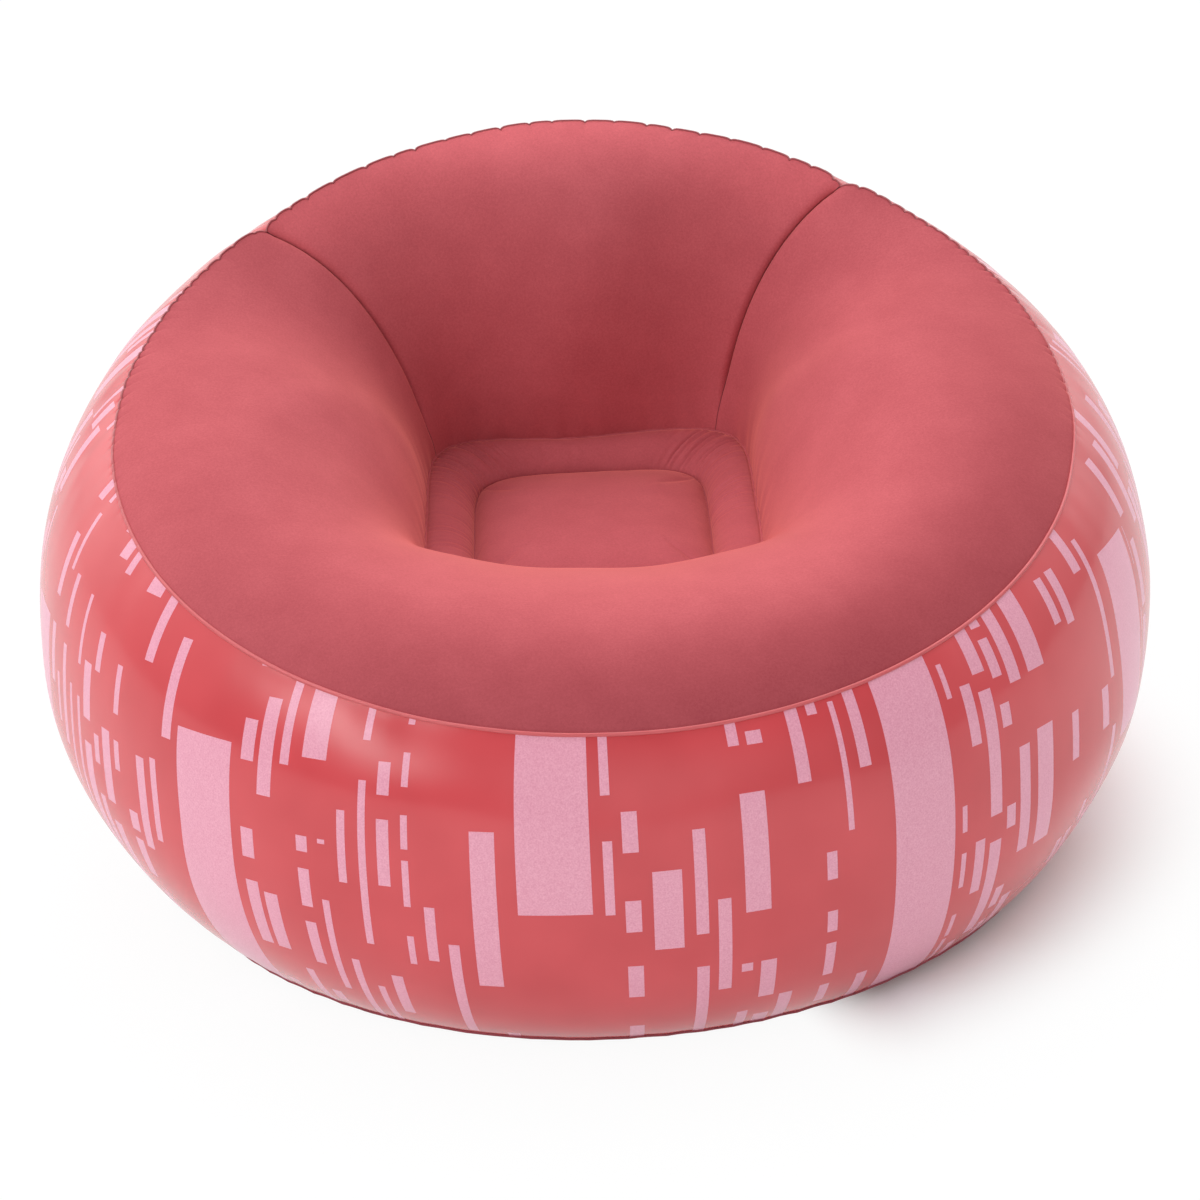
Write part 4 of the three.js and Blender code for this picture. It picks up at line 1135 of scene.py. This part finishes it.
def print_mask(finish, u, v):
    """The wall's print: upright bars, dashes and small squares of chance sizes, each in a lane. A hash
    of a lane's or a cell's number gives its bar's width, place, length and presence, and broader
    bars clear the lanes beside them."""

    def hashed(*parts):
        """Three chance numbers from 0 to 1 for the three parts of a cell's number."""
        vector = finish.add("ShaderNodeCombineXYZ", None, dict(enumerate(parts)))
        settings = {"noise_dimensions": "3D"}
        noise = finish.add("ShaderNodeTexWhiteNoise", settings, {"Vector": vector}, "Color")
        node = finish.tree.nodes.new("ShaderNodeSeparateColor")
        finish.connect(noise, node.inputs["Color"])
        return [Value(finish, output) for output in node.outputs]

    def bars(count, shift, seed, width, height, chance, fill, clearance=0.0):
        """Lanes of bars. With a clearance the second result is the strip that a bar keeps clear."""
        pitch = WALL_GIRTH / count
        across = (u + shift) / pitch
        lane = across.floor()
        breadth, start, tall = hashed(lane, seed, 0.5)
        rise = v / (tall * (height[1] - height[0]) + height[0]) + start * 7.0
        present, foot, length = hashed(lane, rise.floor(), seed + 0.5)
        half = (breadth * (width[1] - width[0]) + width[0]) * 0.5
        off = (across.part() - 0.5).size() * pitch
        low = foot * (1 - fill[1])
        high = low + length * (fill[1] - fill[0]) + fill[0]
        along = rise.part()
        shown = (along > low) * (along < high) * (present < chance)
        if clearance:
            return (off < half) * shown, (off < half + clearance) * (present < chance)
        return (off < half) * shown

    wide_pitch = WALL_GIRTH / WIDE_LANES
    across = (u + WIDE_SHIFT) / wide_pitch
    breadth, foot, top = hashed(across.floor(), 3.5, 9.5)
    off = (across.part() - 0.5).size() * wide_pitch
    half = breadth * (WIDE_HALF[1] - WIDE_HALF[0]) + WIDE_HALF[0]
    low = foot * foot * (WIDE_FOOT[1] - WIDE_FOOT[0]) + WIDE_FOOT[0]
    high = top * (WIDE_TOP[1] - WIDE_TOP[0]) + WIDE_TOP[0]
    tall = (v > low) * (v < high)
    wide, free = (off < half) * tall, 1 - (off < half + WIDE_CLEARANCE)
    broad, round_broad = bars(*BROAD_BARS, BROAD_CLEARANCE)
    thin = bars(*THIN_BARS)
    broad = broad * free
    return wide.most(broad).most(thin * free * (1 - round_broad))


def printed_finish():
    """Glossy red film with pink ink: the ink lies flat on it, a little less shiny and faintly
    grained. A lap weld runs up the wall, and the weld over the valve's flange stands out as a disc."""
    finish = Finish("printed_film", 0xC23A40, coat_weight=0.2, coat_roughness=0.1)
    u, v, _ = finish.split(finish.add("ShaderNodeUVMap", {"uv_map": "film"}))
    mask = print_mask(finish, u, v)
    place = finish.place()
    grain = finish.noise(place, 620.0, 2.0, 0.65)
    cloud = finish.noise(place, 9.0, 2.0, 0.5)
    red = finish.ramp(cloud, (0.3, srgb(0xC43D43)), (0.7, srgb(0xCF474D)))
    pink = finish.ramp(grain, (0.3, srgb(0xD88AA0)), (0.7, srgb(0xE8A4B8)))
    lap = 1 - (u - LAP_AT).size().ramped(LAP_WIDTH / 2 - LAP_EDGE, LAP_WIDTH / 2)
    away = finish.vector_math("SUBTRACT", place, tuple(VALVE_CENTRE * MM))
    aside = finish.vector_math("CROSS_PRODUCT", away, tuple(VALVE_OUT))
    far = finish.vector_math("LENGTH", aside, output="Value")
    ring = 1 - far.ramped((FLANGE_RADIUS - 0.6) * MM, (FLANGE_RADIUS + 0.4) * MM)
    worn = 1 - (lap * 0.12).most(ring * 0.12)
    color = finish.mix(worn, srgb(0x6E2026), finish.mix(mask, red, pink))
    finish.set(base_color=color, roughness=mask * 0.12 + (grain * 0.05 + 0.2))
    waves = finish.bump(finish.noise(place, 48.0, 3.0, 0.5), 0.05, 0.002)
    finish.set(normal=finish.bump(lap.most(ring), 0.8, 0.0005, waves))
    return finish.material


def plain_finish(name, code, rough, scale=160.0, strength=0.12, distance=0.0006, **fixed):
    """A plain moulded or calendered plastic: slow colour drift and a faint surface grain."""
    finish = Finish(name, code, **fixed)
    place = finish.place()
    cloud = finish.noise(place, 60.0, 2.0, 0.5)
    grain = finish.noise(place, scale, 3.0, 0.6)
    base = srgb(code)
    dark = tuple(0.9 * v for v in base)
    light = tuple(min(1.0, 1.08 * v) for v in base)
    color = finish.ramp(cloud, (0.3, dark), (0.7, light))
    normal = finish.bump(grain, strength, distance)
    finish.set(base_color=color, roughness=grain * 0.12 + (rough - 0.06), normal=normal)
    return finish.material


def welt_finish():
    """The rim's weld, light along the front and darker towards the back: painted shade, as the weld lies
    in shade there.
    """
    finish = Finish("welded_rim", 0xC4545A, roughness=0.35)
    _, y, _ = finish.split(finish.place())
    # Painted shade: darker from the front towards the back
    finish.set(base_color=finish.mix(y.ramped(-0.25, 0.1), srgb(0xC9585C), srgb(0xA04A50)))
    return finish.material


flock = flock_finish()
printed = printed_finish()
bottom_film = plain_finish("bottom_film", 0xB8373F, 0.32, 90.0)
tie_film = plain_finish("tie_film", 0xA52733, 0.36, 120.0)
welt = welt_finish()
seam_shade = plain_finish("seam_in_shade", 0x96404A, 0.7, 400.0, 0.1)
# Dark red for the back welds: painted shade, as they lie deep in their creases
crease_shade = plain_finish("weld_in_crease_shade", 0x6A2730, 0.7, 400.0, 0.1)
valve_red = plain_finish("valve_plastic", 0xB5333C, 0.38, 500.0, 0.08, 0.0002)
milky = plain_finish("milky_silicone", 0xE6E2DA, 0.45, 300.0, 0.08, 0.0002)

# Side wall, its rows closer together near both seams
wall_rows = np.concatenate([
    np.linspace(0, 0.12, 7), np.linspace(0.12, 1, 26)[1:], np.linspace(1, 1.72, 15)[1:],
    1.72 + 0.28 * (1 - (1 - np.linspace(0, 1, 15)[1:]) ** 1.7),
])
wall, wall_height = wall_grid(column_azimuth, column_length, wall_rows)
wall = flattened(wall)
turn_u = np.broadcast_to((column_azimuth * BELLY_RADIUS * MM)[:, None], wall_height.shape)
wall_points, vertex_uv, wall_faces = valve_window(wall, np.stack([turn_u, wall_height * MM], -1))
loop_uv = []
for faces in wall_faces:
    corner_uv = vertex_uv[faces]
    behind = corner_uv[..., 0] < corner_uv[..., 0].max(axis=1, keepdims=True) - WALL_GIRTH / 2
    corner_uv[..., 0] += WALL_GIRTH * behind
    loop_uv.append(corner_uv.reshape(-1, 2))
new_piece("side_wall_film", wall_points, wall_faces, printed, "chamber", ["side_wall"],
          np.vstack(loop_uv), PLAIN_FILM)

# Flocked panels
panel_rows = np.linspace(0, 1, 58)
panel_rows = 0.4 * panel_rows + 0.6 * 0.5 * (1 - np.cos(np.pi * panel_rows))
# The panels carry painted shade on the front roll and painted light on the back's crest
arm, arm_painted_shading = panel_grid(left_seam, right_seam, panel_rows)
back, back_painted_shading = panel_grid(right_seam, left_seam, panel_rows)
seat_azimuth = np.linspace(0, 2 * np.pi, 480, endpoint=False)
channel_rows = np.linspace(0, 1, 21)
channel, channel_cut = channel_grid(seat_azimuth, channel_rows)
pad, pad_cut = pad_grid(91)
flocked = {
    "arm_panel": (arm, grid_faces(*arm.shape[:2], False), 1.0, arm_painted_shading),
    "back_panel": (back, grid_faces(*back.shape[:2], False), 1.0, back_painted_shading),
}
for node, grid, cut, closed in (
    ("seat_channel_panel", channel, channel_cut, True),
    ("seat_pad_panel", pad, pad_cut, False),
):
    columns, rows = grid.shape[:2]
    faces = grid_faces(columns, rows, closed)
    points = grid.reshape(-1, 3)
    index = np.arange(columns * rows).reshape(columns, rows)
    edge = np.concatenate([index[:, 0], index[:, -1], *(() if closed else (index[0], index[-1]))])
    points = inflated(points, faces, cut.reshape(-1, 3), np.unique(edge))
    blown = points.reshape(grid.shape)
    # The channel's corner folds need more columns than its simulation
    if closed:
        blown = finer(blown, GATHER_COLUMNS)
        fine_azimuth = np.linspace(0, 2 * np.pi, len(blown), endpoint=False)
        blown = blown - ring_normals(blown) * channel_gathers(fine_azimuth, channel_rows)[..., None]
        faces = grid_faces(*blown.shape[:2], True)
    flocked[node] = (blown, faces, 0.9, None)
for node, (grid, faces, fill, nap) in flocked.items():
    piece = new_piece(node.replace("_panel", "_flock"), grid.reshape(-1, 3), [faces], flock, "chamber",
                      [node], thickness=FLOCKED_FILM, nap=nap)

# Bottom panel, with one point at its middle
bottom_rings = np.concatenate([np.linspace(0.08, 1, 10), 1 + np.linspace(0, 1, 12)[1:]])
bottom = bottom_grid(column_azimuth, bottom_rings, wall[:, 0])
ring_count, row_count = bottom.shape[:2]
bottom_points = np.vstack([bottom.reshape(-1, 3), [[0.0, 0.0, 0.0]]])
fan = pole_fan(np.arange(ring_count) * row_count, ring_count * row_count)[:, ::-1]
bottom_faces = [grid_faces(ring_count, row_count, True), fan]
new_piece("bottom_film", bottom_points, bottom_faces, bottom_film, "chamber", ["bottom_panel"],
          thickness=PLAIN_FILM)

# Seams: the rim's welt is thickest along the front, and a back seam's tapers towards the seat
front_share = ease(from_back(column_azimuth), np.radians(80), np.radians(140))
for name, path, radius, finish, node in (
    ("rim_welt", wall[:, -1], RIM_WELT * (0.58 + 0.42 * front_share), welt, "rim_seam"),
    ("base_welt", wall[:, 0], BASE_WELT, seam_shade, "base_seam"),
    ("recess_weld", channel[:, 0], SEAT_WELD, flock, "recess_seam"),
    ("pad_weld", channel[:, -1], SEAT_WELD, flock, "pad_seam"),
):
    bead = bead_grid(path, radius, True)
    faces = grid_faces(len(path), bead.shape[1], True, True)
    new_piece(name, bead.reshape(-1, 3), [faces], finish, "chamber", [node])
for side, edge in (("right", back[0]), ("left", back[-1])):
    from_rim = travelled(edge[None])[0]
    radius = BACK_WELD * (0.3 + 0.7 * ease(from_rim[-1] - from_rim, 12, 60))
    bead = bead_grid(edge, radius, False, 8)
    count, sides = bead.shape[:2]
    ends = [np.arange(sides)[None, ::-1], ((count - 1) * sides + np.arange(sides))[None, :]]
    faces = [grid_faces(count, sides, False, True), *ends]
    new_piece("back_weld_" + side, bead.reshape(-1, 3), faces, crease_shade, "chamber",
              ["back_seam_" + side])

# Valve: a tether joins the body that holds its still ring to the one that holds the rising ring, and its
# piece is attached to neither
shells = valve_shells()
for name, node, bodies, finish, slot in (
    ("base", "valve_base", ["chamber"], valve_red, "valve_plastic"),
    ("insert", "valve_insert", ["insert"], valve_red, "valve_plastic"),
    ("cap", "valve_cap", ["cap"], valve_red, "valve_plastic"),
    ("flap", "valve_flap", ["flap"], milky, "silicone"),
    ("insert_gasket", "insert_gasket", ["insert_carrier"], milky, "silicone"),
    ("cap_gasket", "cap_gasket", ["cap_carrier"], milky, "silicone"),
    ("insert_tether", "insert_tether", ["chamber", "insert_carrier"], valve_red, "valve_plastic"),
    ("cap_tether", "cap_tether", ["insert", "cap_carrier"], valve_red, "valve_plastic"),
):
    points, faces = shells[name]
    body = bodies[0] if len(bodies) == 1 else None
    piece = new_piece("screw_" + name, on_valve(points), faces, finish, body, [node])
    piece.modifiers.new("even_shading", "WEIGHTED_NORMAL")
    if len(bodies) == 2:
        low, high = points[:, 2].min() + STRAP_THICKNESS, points[:, 2].max() - STRAP_THICKNESS
        start, end = on_valve(np.array([[0, 0, low], [0, 0, high]])) * MM
        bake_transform(piece)

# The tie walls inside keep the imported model's shape
for node in ("recess_tie_wall", "pad_tie_wall"):
    for material_slot in frame["nodes"][node].material_slots:
        material_slot.material = tie_film

# Floor
floor_mesh = bpy.data.meshes.new("floor")
floor_mesh.from_pydata([(-30, -30, 0), (30, -30, 0), (30, 30, 0), (-30, 30, 0)], [], [(0, 1, 2, 3)])
floor = bpy.data.objects.new("floor", floor_mesh)
bpy.context.scene.collection.objects.link(floor)
# Faintly cyan: a painted tint that cancels the red light the chair throws on the floor
pale = Finish("pale_floor", 0xF8FFFE, roughness=0.9)
pale.shader.inputs["Specular IOR Level"].default_value = 0.0
floor_mesh.materials.append(pale.material)
white = pale.add("ShaderNodeEmission", None, {"Color": (1.0, 1.0, 1.0, 1.0), "Strength": 1.0})


def seen_share(finish, share):
    """A share of white for what the camera, a gloss or clear plastic sees, and none for the light."""
    names = ("Is Camera Ray", "Is Glossy Ray", "Is Transmission Ray")
    rays = finish.tree.nodes.new("ShaderNodeLightPath")
    camera_ray, glossy, clear = (Value(finish, rays.outputs[name]) for name in names)
    return camera_ray.most(glossy).most(clear) * share


# The floor glows white to the camera and to gloss, which hides its shadow: painted light. The glow is
# least on the right and close to the foot, where the photograph has the shadow, so it is kept there.
ground_x, ground_y, _ = pale.split(pale.place())
side = (ground_x * 0.95 + ground_y * 0.3).ramped(-0.03, 0.07)
out = (ground_x * ground_x + ground_y * ground_y).math("SQRT").ramped(0.48, 0.66)
kept = seen_share(pale, 0.94 - side * (1 - out) * 0.9)
lit = Value(pale, pale.shader.outputs[0])
shadow_kept = pale.add("ShaderNodeMixShader", None, {0: kept, 1: lit, 2: white})
pale.connect(shadow_kept, pale.tree.nodes["Material Output"].inputs["Surface"])

# Studio: soft lights by elevation, azimuth and strength, the strongest of them behind the chair
STUDIO_LIGHTS = (
    (90, 0, 0.28), (65, 0, 0.28), (65, 60, 0.95), (65, 120, 1.05), (65, 180, 0.28),
    (40, 0, 0.38), (40, 45, 1.4), (40, 90, 1.7), (40, 135, 1.3), (40, 180, 0.4), (40, 270, 0.42),
    (15, 0, 0.6), (15, 45, 1.3), (15, 90, 1.3), (15, 135, 1.3), (15, 180, 0.5), (15, 270, 0.95),
    (15, 315, 0.5),
)
LIGHT_SHARPNESS = 12
# A soft box that shows in the gloss of the wall's left front
SOFT_BOX = ((40, 206, 3.0), (32, 214, 3.0), (22, 222, 3.0))
SOFT_BOX_SHARPNESS = 60
FILL_LIGHT = 0.02
world = bpy.data.worlds.new("studio")
bpy.context.scene.world = world
world.use_nodes = True
studio = Nodes(world.node_tree)
toward = studio.add("ShaderNodeTexCoord", output="Generated")
level = FILL_LIGHT
for lights, sharpness in ((STUDIO_LIGHTS, LIGHT_SHARPNESS), (SOFT_BOX, SOFT_BOX_SHARPNESS)):
    for height, turn, strength in lights:
        height, turn = np.radians(height), np.radians(turn)
        aim = (np.cos(height) * np.cos(turn), np.cos(height) * np.sin(turn), np.sin(height))
        facing = studio.vector_math("DOT_PRODUCT", toward, aim, output="Value")
        level = level + facing.most(0.0).math("POWER", sharpness) * strength
seen = studio.add("ShaderNodeLightPath", output="Is Camera Ray")
sky = world.node_tree.nodes["Background"]
studio.connect(level.most(seen), sky.inputs["Strength"])
sky.inputs["Color"].default_value = (1, 1, 1, 1)


def looking(place, aim, roll):
    """A matrix that looks from a place at an aim, turned about its line of sight."""
    z = unit(place - aim)
    x = unit(np.cross(UP, z))
    y = np.cross(z, x)
    matrix = np.eye(4)
    matrix[:3, 0] = x * np.cos(roll) + y * np.sin(roll)
    matrix[:3, 1] = y * np.cos(roll) - x * np.sin(roll)
    matrix[:3, 2], matrix[:3, 3] = z, place
    return Matrix(matrix.tolist())


def soft_lamp(name, place, aim, size, watts):
    """A rectangular area lamp turned to its aim."""
    light = bpy.data.lights.new(name, "AREA")
    light.shape = "RECTANGLE"
    light.size, light.size_y = size
    light.energy = watts
    lamp = bpy.data.objects.new(name, light)
    bpy.context.scene.collection.objects.link(lamp)
    lamp.matrix_world = looking(np.array(place, float), np.array(aim, float), 0.0)


soft_lamp("key", (-1.9, -1.1, 2.9), (0, 0, 0.3), (1.5, 0.65), 10.0)

# Camera, as fitted to the photograph
CAMERA_DISTANCE = 3.6
CAMERA_AZIMUTH, CAMERA_ELEVATION, CAMERA_ROLL = np.radians([-5.26, 24.36, -2.76])
CAMERA_CENTRE = np.array([0.0, 0.0, 0.3])
AIM_RIGHT, AIM_DOWN = 0.00512, 0.08008
PHOTO_WIDTH = 1200
LENS_PIXELS = 3561.25
level_way = np.array([np.sin(CAMERA_AZIMUTH), -np.cos(CAMERA_AZIMUTH), 0.0])
back_way = level_way * np.cos(CAMERA_ELEVATION) + UP * np.sin(CAMERA_ELEVATION)
right_way = np.array([np.cos(CAMERA_AZIMUTH), np.sin(CAMERA_AZIMUTH), 0.0])
up_way = np.cross(back_way, right_way)
lens = bpy.data.cameras.new("camera")
lens.sensor_width = 36.0
lens.lens = LENS_PIXELS / PHOTO_WIDTH * lens.sensor_width
lens.clip_end = 100
camera = bpy.data.objects.new("camera", lens)
bpy.context.scene.collection.objects.link(camera)
aim = CAMERA_CENTRE + right_way * AIM_RIGHT - up_way * AIM_DOWN
camera.matrix_world = looking(CAMERA_CENTRE + back_way * CAMERA_DISTANCE, aim, CAMERA_ROLL)
bpy.context.scene.camera = camera
bpy.context.scene.view_settings.view_transform = "Standard"
